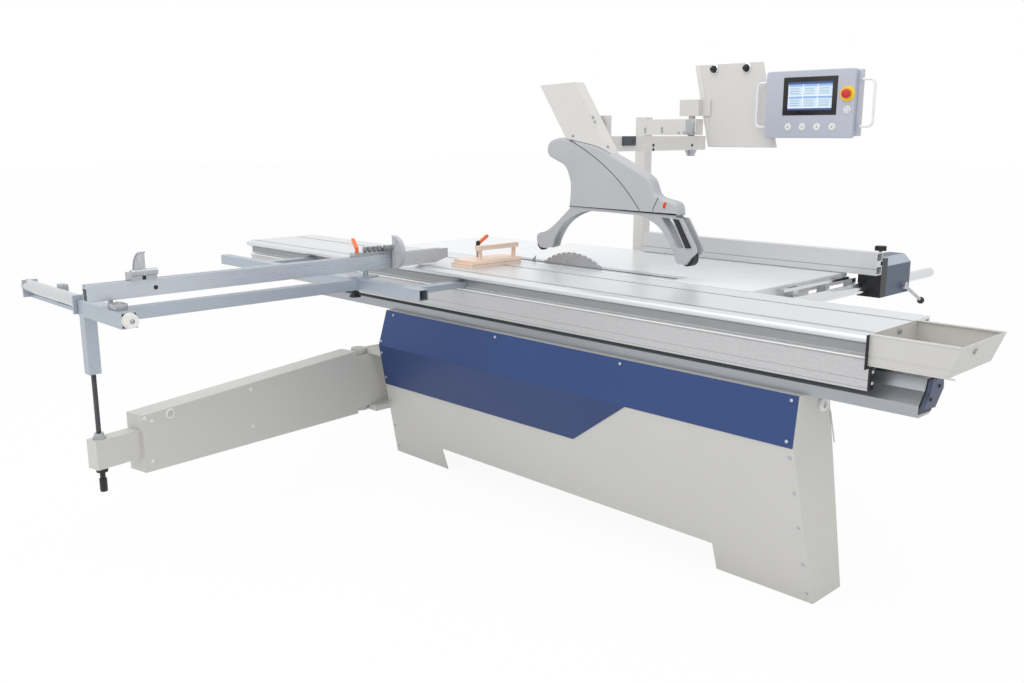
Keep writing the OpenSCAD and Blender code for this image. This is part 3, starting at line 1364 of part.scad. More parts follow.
module hood() color(hood_grey)
    difference() {
        along_y(hood_y0, hood_y1) hood_outline();
        along_y(hood_y0 + hood_wall, hood_y1 - hood_wall) {
            offset(delta = -hood_wall) hood_outline();
            polygon(on_hood(hood_mouth_shares));
        }
        along_y(duct_y0 + duct_wall, duct_y1 - duct_wall)
            polygon(duct_inner());
    }
// Duct: a leaning box on the hood, open at both ends.
duct_low_shares = [[0.159, 0.975], [0.512, 0.768]];
duct_top_shares = [[-0.069, 1.735], [0.221, 1.758]];
function duct_corners() = let (low = on_hood(duct_low_shares),
    up = on_hood(duct_top_shares)) [low[0], up[0], up[1], low[1]];
function duct_inner() = let (c = duct_corners(), lean = (c[1] - c[0]) / norm(c[1] - c[0])) [
    c[0] + [2 * duct_wall, -6 * duct_wall], c[1] + [duct_wall, 0] + lean * duct_wall,
    c[2] - [duct_wall, 0] + lean * duct_wall, c[3] + [-3 * duct_wall, 0] - [0, 5 * duct_wall]];
module hood_duct() color(beige) {
    stud_z = boom_z0 + boom_h / 2;
    rib_z = hood_z0 + hood_h + lift_gap;
    difference() {
        union() {
            along_y(duct_y0, duct_y1)
                difference() {
                    polygon(duct_corners());
                    hood_outline();
                }
            block([pin_x - lift_rib_w / 2, duct_y1 - duct_wall, rib_z],
                [pin_x + lift_rib_w / 2, lift_y0 + cut, rib_z + lift_rib_h]);
        }
        along_y(duct_y0 + duct_wall, duct_y1 - duct_wall) polygon(duct_inner());
    }
    difference() {
        block([pin_x - guide_w / 2, lift_y0, stud_z - lift_up - 3 * stud_r],
            [pin_x + guide_w / 2, lift_y1, stud_z + lift_down + 3 * stud_r]);
        for (x = [pin_x - stud_gap / 2, pin_x + stud_gap / 2]) {
            block([x - stud_r - slip, lift_y0 - cut, stud_z - lift_up - slip],
                [x + stud_r + slip, lift_y1 + cut, stud_z + lift_down + slip]);
            for (z = [stud_z - lift_up - slip, stud_z + lift_down + slip])
                rod_y(x, lift_y0 - cut, lift_y1 + cut, z, stud_r + slip);
        }
    }
}
// Guard frame: two arched cheeks that carry the wheels.
cheek_t = 8;
cheek_far = 72;
cheek_x0 = hood_x0 - cheek_far;
cheek_l = 793;
cheek_up = 55;
cheek_z0 = top + cheek_up;
cheek_h = 203;
rear_leg_shares = [[0.041, 0.041], [0.019, 0.174], [0.029, 0.307], [0.096, 0.395], [0.178, 0.631], [0.25, 0.877]];
top_shares = [[0.258, 0.97], [0.878, 0.97], [0.882, 0.826]];
front_leg_shares = [[0.916, 0.812], [0.96, 0.55], [1, 0.286], [0.978, 0.164]];
foot_shares = [[0.948, 0.018], [0.906, 0.012]];
arch_shares = [[0.892, 0.05], [0.875, 0.22], [0.839, 0.438], [0.792, 0.628], [0.74, 0.739], [0.681, 0.81],
    [0.562, 0.824], [0.439, 0.83], [0.343, 0.812], [0.259, 0.698], [0.192, 0.518], [0.145, 0.271], [0.125, 0.078]];
heel_shares = [[0.083, 0.03]];
window_shares = [[0.804, 0.81], [0.86, 0.8], [0.934, 0.306], [0.896, 0.301], [0.852, 0.565], [0.813, 0.748]];
wheel_front_share = 0.945;
wheel_rear_share = 0.047;
function on_cheek(shares) = placed(shares, cheek_x0, cheek_z0, cheek_l, cheek_h);
module cheek_outline() {
    polygon(concat(smooth_run(on_cheek(rear_leg_shares), curve_steps), on_cheek(top_shares),
        smooth_run(on_cheek(front_leg_shares), curve_steps), on_cheek(foot_shares),
        smooth_run(on_cheek(arch_shares), curve_steps), on_cheek(heel_shares)));
}
wheel_up = 25;
wheel_front_x = cheek_x0 + wheel_front_share * cheek_l;
wheel_rear_x = cheek_x0 + wheel_rear_share * cheek_l;
wheel_z = cheek_z0 + wheel_up;
wheel_axle_r = 5;
wheel_rear_w = 11;
wheel_front_w = 30;
wheel_gap = 1;
cheek_y0 = hood_y0 + hood_wall;
wheel_y0 = cheek_y0 + cheek_t + wheel_gap;
module hood_frame() color(hood_grey)
    for (y = [cheek_y0, hood_y1 - hood_wall - cheek_t])
        difference() {
            along_y(y, y + cheek_t)
                difference() {
                    cheek_outline();
                    polygon(on_cheek(window_shares));
                }
            rod_y(wheel_front_x, y - cut, y + cheek_t + cut, wheel_z, wheel_axle_r + run);
            rod_y(wheel_rear_x, cheek_y0 - cut, cheek_y0 + cheek_t + cut, wheel_z, wheel_axle_r + run);
        }
module guard_wheel(x, w, axle_y1) {
    rod_y(x, wheel_y0, wheel_y0 + w, wheel_z, wheel_r);
    rod_y(x, cheek_y0, axle_y1, wheel_z, wheel_axle_r);
}
module hood_wheel_front() color(black) guard_wheel(wheel_front_x, wheel_front_w, hood_y1 - hood_wall);
module hood_wheel_rear() color(black) guard_wheel(wheel_rear_x, wheel_rear_w, wheel_y0 + wheel_rear_w);
grip_t = 4;
grip_shares = [[0.872, 0.8], [0.9, 0.79], [0.974, 0.319], [0.945, 0.31]];
module hood_handle() color(black)
    along_y(cheek_y0 - grip_t, cheek_y0)
        polygon(on_cheek(grip_shares));

// Control panel on a plate that turns on the head pin.
sleeve_s = 96;
sleeve_h = 67;
sleeve_gap = 13;
sleeve_z0 = head_z1 + sleeve_gap;
sleeve_z1 = sleeve_z0 + sleeve_h;
plate_t = 8;
plate_back = 10;
plate_y0 = column_y + plate_back;
plate_l = 324;
plate_h = 335;
plate_lean = 80;
plate_up = 458;
plate_z0 = top + plate_up;
plate_out = 80;
plate_x0 = pin_x + plate_out;
panel_out = 370;
panel_x = pin_x + panel_out;
panel_up = 496;
panel_z = top + panel_up;
panel_y1 = plate_y0;
panel_y0 = panel_y1 - panel_t;
bezel_in = 3;
bezel_shares = [[0.2, 0.34], [0.78, 0.9]];
panel_handle_r = 5;
panel_handle_out = 50;
panel_handle_shares = [0.17, 0.84];
button_h = 10;
button_out = 4;
button_shares = [0.272, 0.428, 0.587, 0.746];
button_row_share = 0.165;
estop_share = [0.885, 0.638];
start_share = [0.89, 0.41];
estop_out = 22;
estop_stem_r = 10;
module panel_arm() color(beige)
    difference() {
        union() {
            block([pin_x - sleeve_s / 2, column_y - sleeve_s / 4, sleeve_z0], [pin_x + sleeve_s / 2,
                column_y + sleeve_s / 4, sleeve_z1]);
            block([pin_x, plate_y0 - plate_t, sleeve_z0], [plate_x0 + plate_t, plate_y0 + plate_t, sleeve_z1]);
            along_y(plate_y0, plate_y0 + plate_t)
                polygon([[plate_x0, plate_z0], [plate_x0 - plate_lean, plate_z0 + plate_h],
                    [plate_x0 - plate_lean + plate_l, plate_z0 + plate_h], [plate_x0 + plate_l, plate_z0]]);
        }
        rod_z(pin_x, column_y, sleeve_z0 - cut, sleeve_z1 + cut, pin_r + run);
    }
function on_panel(s) = [panel_x + s[0] * panel_w, panel_z + s[1] * panel_h];
module panel_hole(share, r) {
    p = on_panel(share);
    rod_y(p[0], panel_y0 - cut, panel_y0 + 3 * button_h, p[1], r + run);
}
module control_panel() {
    low = on_panel(bezel_shares[0]);
    high = on_panel(bezel_shares[1]);
    color(white)
        difference() {
            block([panel_x, panel_y0, panel_z], [panel_x + panel_w, panel_y1, panel_z + panel_h]);
            block([low[0], panel_y0 - cut, low[1]], [high[0], panel_y0 + bezel_in, high[1]]);
            for (s = button_shares) panel_hole([s, button_row_share], button_r);
            panel_hole(start_share, button_r);
            panel_hole(estop_share, estop_stem_r);
        }
    color(steel)
        for (side = [-1, 1]) {
            edge = side < 0 ? panel_x : panel_x + panel_w;
            out = edge + side * panel_handle_out;
            z0 = panel_z + panel_handle_shares[0] * panel_h;
            z1 = panel_z + panel_handle_shares[1] * panel_h;
            y = (panel_y0 + panel_y1) / 2;
            rod_z(out, y, z0, z1, panel_handle_r);
            for (z = [z0, z1]) {
                rod_x(min(edge, out), max(edge, out), y, z, panel_handle_r);
                translate([out, y, z]) sphere(r = panel_handle_r);
            }
        }
}
module panel_knob(share, r, out, stem_r) {
    p = on_panel(share);
    rod_y(p[0], panel_y0 - out, panel_y0 + button_h, p[1], stem_r);
    if (r > stem_r)
        rod_y(p[0], panel_y0 - out, panel_y0 - out + button_h, p[1], r);
}
module panel_button(k) color(white)
    panel_knob([button_shares[k], button_row_share], button_r, button_out, button_r);
module panel_button_1() panel_button(0);
module panel_button_2() panel_button(1);
module panel_button_3() panel_button(2);
module panel_button_4() panel_button(3);
module start_button() color(white) panel_knob(start_share, button_r, button_out, button_r);
module estop_button() color("red") panel_knob(estop_share, estop_r, estop_out, estop_stem_r);

cabinet();
cabinet_door();
stand();
stand_panel();
cover_screws();
slide_rail();
main_table();
table_insert();
outfeed_table();
rip_bar();
guard_column();
trunnions();
dust_port();
arm_hinge();
carriage_profile();
end_tray();
outrigger_frame();
end_roller();
roller_cage();
swing_arm();
arm_inner();
support_rod();
crosscut_fence();
stop_a_base();
stop_a_flap();
stop_b_base();
stop_b_flap();
stop_lever();
edging_shoe();
shoe_lever();
rip_carrier();
rip_fence();
rip_lever();
rip_knob();
tilt_cradle();
rise_arm();
drive_motor();
motor_pulley();
drive_belt();
saw_arbor();
saw_blade();
riving_knife();
scoring_blade();
guard_boom();
hood();
hood_frame();
hood_duct();
hood_handle();
hood_wheel_front();
hood_wheel_rear();
panel_arm();
control_panel();
estop_button();
panel_button_1();
panel_button_2();
panel_button_3();
panel_button_4();
start_button();
rail_caps();
tray_bolts();
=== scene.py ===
import math

import bmesh
import bpy
from mathutils import Matrix, Vector


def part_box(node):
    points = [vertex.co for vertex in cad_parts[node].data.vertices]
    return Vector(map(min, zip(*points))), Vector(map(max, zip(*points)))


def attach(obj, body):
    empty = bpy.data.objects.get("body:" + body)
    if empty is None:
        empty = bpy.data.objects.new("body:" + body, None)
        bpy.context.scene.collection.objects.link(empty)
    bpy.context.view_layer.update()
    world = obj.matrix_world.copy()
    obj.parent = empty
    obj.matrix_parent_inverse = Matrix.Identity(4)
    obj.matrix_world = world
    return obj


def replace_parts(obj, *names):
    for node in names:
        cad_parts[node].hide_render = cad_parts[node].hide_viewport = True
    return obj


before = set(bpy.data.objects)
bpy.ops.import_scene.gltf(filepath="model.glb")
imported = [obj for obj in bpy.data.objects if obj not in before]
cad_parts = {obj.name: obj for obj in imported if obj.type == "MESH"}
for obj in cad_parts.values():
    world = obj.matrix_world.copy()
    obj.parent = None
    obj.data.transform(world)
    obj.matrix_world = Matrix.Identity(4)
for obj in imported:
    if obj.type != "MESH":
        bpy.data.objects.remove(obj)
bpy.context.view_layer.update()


# Cabinet and door
# Welded sheet cabinet under the table, powder coated in warm grey, with a hinged side door and a
# black latch. The coat has a fine orange-peel surface and is a little mottled.
class Value:
    """A socket of a node tree; arithmetic with it adds Math nodes to that tree."""

    def __init__(self, nodes, socket):
        self.nodes, self.socket = nodes, socket

    def apply(self, operation, first, second=0.0):
        return self.nodes.node("ShaderNodeMath", {"operation": operation}, {0: first, 1: second})

    def __add__(self, other):
        return self.apply("ADD", self, other)

    def __sub__(self, other):
        return self.apply("SUBTRACT", self, other)

    def __rsub__(self, other):
        return self.apply("SUBTRACT", other, self)

    def __mul__(self, other):
        return self.apply("MULTIPLY", self, other)

    def __truediv__(self, other):
        return self.apply("DIVIDE", self, other)

    def __mod__(self, other):
        return self.apply("FLOORED_MODULO", self, other)

    def __pow__(self, other):
        return self.apply("POWER", self, other)

    def __lt__(self, other):
        return self.apply("LESS_THAN", self, other)

    def __gt__(self, other):
        return self.apply("GREATER_THAN", self, other)

    def __or__(self, other):
        return self.apply("MAXIMUM", self, other)

    def __abs__(self):
        return self.apply("ABSOLUTE", self)

    def wave(self, rate):
        return self.apply("SINE", self * rate)

    __radd__ = __add__
    __rmul__ = __mul__


class Nodes:
    """The node tree of a material or a world."""

    def __init__(self, owner):
        owner.use_nodes = True
        self.tree = owner.node_tree

    def fill(self, node, sockets):
        for key, value in sockets.items():
            if isinstance(value, Value):
                self.tree.links.new(value.socket, node.inputs[key])
            else:
                node.inputs[key].default_value = value

    def node(self, kind, settings=None, sockets=None, out=0):
        node = self.tree.nodes.new(kind)
        for key, value in (settings or {}).items():
            setattr(node, key, value)
        self.fill(node, sockets or {})
        return Value(self, node.outputs[out])


class Finish(Nodes):
    """A material: its shader and the nodes that vary it."""

    def __init__(self, name, **sockets):
        self.material = bpy.data.materials.new(name)
        super().__init__(self.material)
        self.shader = self.tree.nodes["Principled BSDF"]
        self.feed(**sockets)

    def feed(self, **sockets):
        self.fill(self.shader, {key.replace("_", " "): value for key, value in sockets.items()})

    def coat(self):
        return Value(self, self.shader.inputs["Base Color"].links[0].from_socket)

    def place(self):
        point = self.node("ShaderNodeTexCoord", out="Object")
        return [self.node("ShaderNodeSeparateXYZ", sockets={0: point}, out=axis) for axis in range(3)]

    def noise(self, scale, detail=2.0, stretch=(1, 1, 1)):
        point = self.node("ShaderNodeTexCoord", out="Object")
        point = self.node("ShaderNodeMapping", sockets={"Vector": point, "Scale": stretch})
        return self.node("ShaderNodeTexNoise", sockets={"Vector": point, "Scale": scale, "Detail": detail})

    def mix(self, share, first, second):
        # A Mix node set to colours takes them at sockets 6 and 7 and gives its colour at output 2.
        return self.node("ShaderNodeMix", {"data_type": "RGBA"}, {0: share, 6: first, 7: second}, 2)

    def bump(self, height, depth):
        return self.node("ShaderNodeBump", sockets={"Height": height, "Distance": depth})


def tone(red, green, blue, share=1.0):
    parts = [level / 255 for level in (red, green, blue)]
    linear = [part / 12.92 if part < 0.0404 else ((part + 0.055) / 1.055) ** 2.4 for part in parts]
    return (*[min(1.0, part * share) for part in linear], 1.0)


def paint(name, colour, rough=0.45, spread=0.06, grain=900.0, depth=0.00006, **sockets):
    finish = Finish(name, **sockets)
    cloud, speck = finish.noise(scale=2.5, detail=3.0), finish.noise(scale=grain, detail=1.0)
    share = cloud * 0.75 + speck * 0.25
    finish.feed(Base_Color=finish.mix(share, tone(*colour, 1 - spread), tone(*colour, 1 + spread)),
                Roughness=cloud * 0.1 + (rough - 0.05), Normal=finish.bump(speck, depth))
    return finish


def dress(finish, *nodes):
    for name in nodes:
        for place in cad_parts[name].material_slots:
            place.material = finish.material


def round_edges(mesh, edges, offset, steps):
    bmesh.ops.bevel(mesh, geom=edges, offset=offset, segments=steps, profile=0.5, affect="EDGES", material=-1)


def slab(mesh, centre, size, edge=0.0, steps=2):
    place = Matrix.Translation(centre) @ Matrix.Diagonal((*size, 1))
    corners = bmesh.ops.create_cube(mesh, size=1, matrix=place)["verts"]
    if edge:
        round_edges(mesh, list({line for corner in corners for line in corner.link_edges}), edge, steps)


def put(name, mesh, body, finish, sharp_angle=math.radians(32)):
    data = bpy.data.meshes.new(name)
    mesh.to_mesh(data)
    mesh.free()
    data.materials.append(finish.material)
    data.shade_smooth()
    data.set_sharp_from_angle(angle=sharp_angle)
    piece = bpy.data.objects.new(name, data)
    bpy.context.scene.collection.objects.link(piece)
    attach(piece, body)
    return piece


beige = paint("beige_coat", (202, 201, 197))
dress(beige, "cabinet", "cabinet_door")
black = paint("black_plastic", (26, 27, 30), rough=0.42, spread=0.2, grain=1500.0)
door_face, latch_y, latch_z = 0.654, -0.145, 0.440
latch_plate, latch_grip = Vector((0.010, 0.030, 0.080)), Vector((0.006, 0.020, 0.056))
latch = bmesh.new()
slab(latch, (door_face + latch_plate.x / 2, latch_y, latch_z), latch_plate, edge=0.004)
slab(latch, (door_face + latch_plate.x + latch_grip.x / 2, latch_y, latch_z), latch_grip, edge=0.003)
put("door_latch", latch, "door", black)


# Dust outlet
# Black moulded spigot at the back of the cabinet for the extraction hose. Fine rings round it give
# the hose its grip.
ringed = Finish("ringed_plastic", Roughness=0.5)
_, along, _ = ringed.place()
ringed.feed(Base_Color=ringed.mix(ringed.noise(scale=60.0), tone(20, 21, 23), tone(38, 39, 42)),
            Normal=ringed.bump(along.wave(900.0), depth=0.0004))
dress(ringed, "dust_port")


# Front stand and its blue panel
# Leaning sheet box on two feet. Pan screws hold the blue folded front, and a round cable gland and
# a thin clip sit on the operator's end.
def facing(point, axis):
    """The place of a turned fitting that stands at a point and looks along an axis."""
    turn = Vector((0, 0, 1)).rotation_difference(Vector(axis)).to_matrix().to_4x4()
    return Matrix.Translation(point) @ turn


def join(mesh, part, place):
    """Sets a part in its place and adds it to a mesh."""
    part.transform(place)
    data = bpy.data.meshes.new("part")
    part.to_mesh(data)
    part.free()
    mesh.from_mesh(data)
    bpy.data.meshes.remove(data)


def turned(mesh, outline, place, steps=28):
    """Turns an outline of radii and heights about its axis."""
    part = bmesh.new()
    points = [part.verts.new((radius, 0, height)) for radius, height in outline]
    edges = [part.edges.new(pair) for pair in zip(points, points[1:])]
    bmesh.ops.spin(part, geom=points + edges, cent=(0, 0, 0), axis=(0, 0, 1), angle=math.tau, steps=steps,
                   use_merge=True)
    bmesh.ops.remove_doubles(part, verts=part.verts, dist=1e-6)
    bmesh.ops.recalc_face_normals(part, faces=part.faces)
    join(mesh, part, place)


def screw_head(mesh, point, axis, radius, sunk=0.001):
    head_shares = ((0, 0.3), (0.4, 0.3), (0.45, 0.6), (0.75, 0.5), (1, 0.1))
    outline = [(radius * wide, radius * tall) for wide, tall in head_shares]
    turned(mesh, outline + [(radius, -sunk), (0, -sunk)], facing(point, axis), 16)


dress(beige, "stand", "arm_hinge")
blue = paint("blue_coat", (46, 70, 122), rough=0.42, spread=0.12)
fold_z, lower_facet_painted_shade = 0.539, 0.35
# Below the fold the blue is mixed towards a darker blue: painted shade on the lower facet, which the light
# from above reaches less.
_, _, z = blue.place()
blue.feed(Base_Color=blue.mix((z < fold_z) * lower_facet_painted_shade, blue.coat(), tone(26, 44, 88)),
          Specular_IOR_Level=0.35)
dress(blue, "stand_panel")
white = paint("white_plastic", (226, 227, 226), rough=0.35, spread=0.03)
dress(paint("screw_zinc", (188, 194, 204), rough=0.3, spread=0.08, Metallic=0.4), "cover_screws")
stand_end, to_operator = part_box("stand")[1][0], (1, 0, 0)
gland_outline = [(0.012, 0.002), (0.012, 0.008), (0.015, 0.011), (0.021, 0.010), (0.024, 0.006), (0.024, 0),
                 (0, 0), (0, 0.002), (0.012, 0.002)]
gland_y, gland_z = -0.568, 0.646
gland = bmesh.new()
turned(gland, gland_outline, facing((stand_end, gland_y, gland_z), to_operator))
put("cable_gland", gland, "frame", white)
clip_size, clip_lean = Vector((0.0025, 0.005, 0.112)), math.radians(19.9)
clip_y, clip_z = -0.499, 0.5595
clip = bmesh.new()
slab(clip, (clip_size.x / 2, 0, 0), clip_size, edge=0.001)
clip.transform(Matrix.Translation((stand_end, clip_y, clip_z)) @ Matrix.Rotation(clip_lean, 4, "X"))
put("end_clip", clip, "frame", beige)


# Rail with its caps
# Extruded aluminium rail bolted on the stand; each end has a dark blue cap over a black gasket,
# held by two black screws.
def drawn_metal(name, colour, rough=0.32, metallic=0.75, along=(1, 40, 40), spread=0.1, depth=0.00003):
    finish = Finish(name, Metallic=metallic)
    streak, cloud = finish.noise(scale=14.0, detail=4.0, stretch=along), finish.noise(scale=3.0)
    share = streak * 0.7 + cloud * 0.3
    finish.feed(Base_Color=finish.mix(share, tone(*colour, 1 - spread), tone(*colour, 1 + spread)),
                Roughness=streak * 0.16 + (rough - 0.08), Normal=finish.bump(streak, depth))
    return finish


def pull(mesh, face, way):
    """Pulls a loose face out into a closed bar."""
    made = bmesh.ops.extrude_face_region(mesh, geom=[face])["geom"]
    bmesh.ops.translate(mesh, verts=[part for part in made if isinstance(part, bmesh.types.BMVert)], vec=way)
    bmesh.ops.recalc_face_normals(mesh, faces=mesh.faces)


dress(drawn_metal("rail_aluminium", (168, 172, 177)), "slide_rail")
dress(paint("cap_coat", (78, 88, 112), rough=0.5), "rail_caps")
(rail_x0, rail_y0, rail_z0), (rail_x1, rail_y1, rail_z1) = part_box("slide_rail")
gasket_thick = 0.0024
gasket_shares = ((-0.01, 0.1), (-0.01, 0.35), (0.26, 0.7), (0.36, 1.015), (0.97, 1.015), (1.015, 0.68),
                 (0.66, 0.06))
gaskets = bmesh.new()
for rail_end in (rail_x1, rail_x0):
    corners = [gaskets.verts.new((rail_end + gasket_thick / 2, rail_y0 + across * (rail_y1 - rail_y0),
                                  rail_z0 + up * (rail_z1 - rail_z0))) for across, up in gasket_shares]
    pull(gaskets, gaskets.faces.new(corners), (-gasket_thick, 0, 0))
put("rail_gaskets", gaskets, "frame", black)
(cap_x0, _, _), (cap_x1, _, _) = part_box("rail_caps")
cap_screws = bmesh.new()
for cap_end, way in ((cap_x1, 1), (cap_x0, -1)):
    for y, z in ((-0.640, 0.737), (-0.590, 0.765)):
        screw_head(cap_screws, (cap_end, y, z), (way, 0, 0), radius=0.006)
put("cap_screws", cap_screws, "frame", black)


# Roller strip
# Flat steel cage with its rollers, which runs between the rail and the carriage at half the
# carriage's speed.
steel = drawn_metal("turned_steel", (178, 181, 185), rough=0.28, metallic=0.9, along=(6, 6, 30))
dress(steel, "roller_cage")


# Carriage
# Long anodised extrusion; a painted highlight runs along the ledge of its nose and painted shade fills the
# recess above it; two dark inlaid lines and a band of fine slanting ribs run along its front edge, and
# black wipers close the operator's end.
def block(mesh, low, high, edge=0.0, steps=2):
    low, high = Vector(low), Vector(high)
    slab(mesh, (low + high) / 2, high - low, edge, steps)


skin = Finish("carriage_aluminium", Metallic=0.6)
x, y, z = skin.place()
top_z, recess_z, lip_z, face_z, front_y = 0.8980, 0.8765, 0.8425, 0.8325, -0.60
front = (z < top_z) * (y < front_y)
seam_zs, seam_half = (0.7725, 0.7505), 0.0007
rib_y, rib_half, ribbed_z = -0.668, 0.010, 0.8985
streak = skin.noise(scale=14.0, detail=4.0, stretch=(1, 40, 40))
grain = skin.noise(scale=70.0, detail=3.0, stretch=(1, 3, 3))
metal = skin.mix(streak, tone(208, 211, 214), tone(228, 230, 232))
# The band under the top, above the ledge, is mixed towards a darker grey: painted shade in the recess.
recess_painted_shade = skin.mix(streak, tone(140, 143, 147), tone(172, 174, 177))
metal = skin.mix(front * (z < recess_z), metal, recess_painted_shade)
# The narrow ledge under the recess is near white: a painted highlight.
metal = skin.mix(front * (z < lip_z), metal, tone(246, 246, 246))
face = skin.mix(streak * 0.5 + grain * 0.5, tone(168, 169, 171), tone(220, 220, 221))
metal = skin.mix(front * (z < face_z), metal, face)
seams = (abs(z - seam_zs[0]) < seam_half) + (abs(z - seam_zs[1]) < seam_half)
ribs = (x + y).wave(900.0) * (z > ribbed_z) * (abs(y - rib_y) < rib_half)
skin.feed(Base_Color=skin.mix(seams * 0.5, metal, tone(58, 61, 66)), Roughness=streak * 0.14 + 0.27,
          Normal=skin.bump(streak * 0.1 + ribs * 0.5, depth=0.0003))
dress(skin, "carriage_profile")
(carriage_x0, _, _), (carriage_x1, _, carriage_top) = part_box("carriage_profile")
inlay_gap, inlay_sunk, inlay_proud = 0.0005, 0.0010, 0.0002
inlays = bmesh.new()
for near, far in ((-0.6917, -0.6893), (-0.6811, -0.6779)):
    block(inlays, (carriage_x0 + inlay_gap, near, carriage_top - inlay_sunk),
          (carriage_x1 - 2 * inlay_gap, far, carriage_top + inlay_proud))
put("inlay_lines", inlays, "carriage", black)
thin_wiper, thick_wiper = 0.0015, 0.0060
wipers = bmesh.new()
for sunk, proud, (y0, y1), (z0, z1) in (
        (thin_wiper, thin_wiper, (-0.7250, -0.7000), (0.8050, 0.8985)),
        (0.0005, thick_wiper, (-0.7005, -0.6760), (0.7450, 0.8060))):
    block(wipers, (carriage_x1 - sunk, y0, z0), (carriage_x1 + proud, y1, z1), edge=0.001)
put("end_wipers", wipers, "carriage", black)
wiper_screws = bmesh.new()
for z in (0.795, 0.764):
    screw_head(wiper_screws, (carriage_x1 + thick_wiper, -0.688, z), to_operator, radius=0.005)
put("wiper_screws", wiper_screws, "carriage", white)


# Tray at the carriage's end
# Folded sheet tray bolted to the carriage, with a crease and a hem along its apron and a rolled rim
# along both sides.
dress(beige, "end_tray")
dress(steel, "tray_bolts")
(tray_x0, tray_y0, tray_z0), (tray_x1, tray_y1, _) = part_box("end_tray")
near_gap, apron_gap, rim_gap = 0.002, 0.012, 0.006
hems = bmesh.new()
for (y0, y1), (z0, z1), far_gap, edge, steps in (
        ((tray_y0 - 0.0012, tray_y0 + 0.002), (0.8395, 0.8420), apron_gap, 0.0006, 2),
        ((tray_y0 - 0.0015, tray_y0 + 0.002), (tray_z0, tray_z0 + 0.005), apron_gap, 0.0010, 2),
        ((tray_y0 - 0.0015, tray_y0 + 0.010), (0.8950, 0.9010), rim_gap, 0.0025, 3),
        ((tray_y1 - 0.0100, tray_y1 + 0.001), (0.8960, 0.9005), rim_gap, 0.0020, 3)):
    block(hems, (tray_x0 + near_gap, y0, z0), (tray_x1 - far_gap, y1, z1), edge, steps)
put("tray_hems", hems, "carriage", beige)


# Outrigger with its roller
# Anodised square tubes bolted across the carriage, with a levelling foot, a white bumper and a
# white-capped roller at the outer end; steel clamps on top hold the crosscut fence.
def middle(node):
    low, high = (Vector(corner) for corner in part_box(node))
    return (low + high) / 2


anodised = Finish("anodised_tube", Metallic=0.6)
bumper_x, bumper_y = -0.3446, -1.9
x, y, _ = anodised.place()
streak = anodised.noise(scale=14.0, detail=4.0, stretch=(8, 8, 40))
tube = anodised.mix(streak, tone(164, 173, 184), tone(192, 200, 209))
bumper = (x > bumper_x) * (y < bumper_y)
anodised.feed(Base_Color=anodised.mix(bumper, tube, tone(238, 236, 232)), Roughness=streak * 0.16 + 0.32,
              Normal=anodised.bump(streak, depth=0.00003))
dress(anodised, "outrigger_frame")
dress(drawn_metal("roller_tube", (205, 207, 210), rough=0.26, metallic=0.85, along=(1, 30, 30)), "end_roller")
upward = (0, 0, 1)
foot_outline = [(0, 0.845), (0.006, 0.845), (0.006, 0.828), (0.016, 0.828), (0.016, 0.818), (0.022, 0.812),
                (0.022, 0.806), (0, 0.806)]
stub_outline = [(0, 0.842), (0.009, 0.842), (0.012, 0.838), (0.012, 0.830), (0, 0.830)]
foot = bmesh.new()
turned(foot, foot_outline, facing((-0.500, -1.000, 0), upward))
turned(foot, stub_outline, facing((-0.560, -1.008, 0), upward))
put("levelling_foot", foot, "carriage", black)
clamp_bolts = bmesh.new()
for x in (-0.45, -0.49):
    screw_head(clamp_bolts, (x, -0.962, 0.880), upward, radius=0.007)
put("clamp_bolts", clamp_bolts, "carriage", steel)
roller_end, roller_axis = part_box("end_roller")[0][0], middle("end_roller")
cap_outline = [(0, 0.026), (0.015, 0.026), (0.021, 0.022), (0.023, 0.015), (0.023, 0.0005), (0, 0.0005)]
roller_cap = bmesh.new()
turned(roller_cap, cap_outline, facing((roller_end, roller_axis.y, roller_axis.z), (-1, 0, 0)))
put("roller_end_cap", roller_cap, "carriage", white)
bumper_screw = bmesh.new()
screw_head(bumper_screw, (-0.323, -1.935, 0.860), to_operator, radius=0.008)
put("bumper_screw", bumper_screw, "carriage", steel)
clamp_y, clamp_top = -1.935, 0.905
low_clamp, tall_clamp = Vector((0.050, 0.040, 0.021)), Vector((0.040, 0.0265, 0.065))
clamps = bmesh.new()
slab(clamps, (-0.417, clamp_y, clamp_top - low_clamp.z / 2), low_clamp, edge=0.003)
slab(clamps, (-0.935, -1.91325, clamp_top - tall_clamp.z / 2), tall_clamp, edge=0.003)
for x in (-0.430, -0.404):
    screw_head(clamps, (x, clamp_y, clamp_top), upward, radius=0.006)
put("fence_clamps", clamps, "carriage", steel)


# Swing arm with its inner tube
# Tapered sheet box hinged on the stand, with a plug and screws on its side; a tube slides out of it
# and carries a dark threaded rod up to the outrigger's leg.
arm_root, arm_turn, arm_half = Vector((-0.890, -0.720, 0)), math.radians(10.685), 0.045
arm_out = Vector((math.sin(arm_turn), -math.cos(arm_turn), 0))
arm_side = Vector((math.cos(arm_turn), math.sin(arm_turn), 0))


def on_arm(reach, height):
    return arm_root + arm_out * reach + arm_side * arm_half + Vector((0, 0, height))


dress(beige, "swing_arm", "arm_inner")
plug_outline = [(0.012, -0.001), (0.012, 0.004), (0.015, 0.006), (0.018, 0.003), (0.018, -0.001)]
plug = bmesh.new()
turned(plug, plug_outline, facing(on_arm(0.994, 0.452), arm_side))
put("arm_plug", plug, "swing_arm", white)
arm_screws = bmesh.new()
for reach, height in ((1.095, 0.458), (1.068, 0.443), (1.075, 0.299), (0.632, 0.314), (0.633, 0.459)):
    screw_head(arm_screws, on_arm(reach, height), arm_side, radius=0.008)
put("arm_screws", arm_screws, "swing_arm", white)
thread = Finish("threaded_rod", Metallic=0.7, Roughness=0.4)
_, _, z = thread.place()
pitch = z.wave(2500.0)
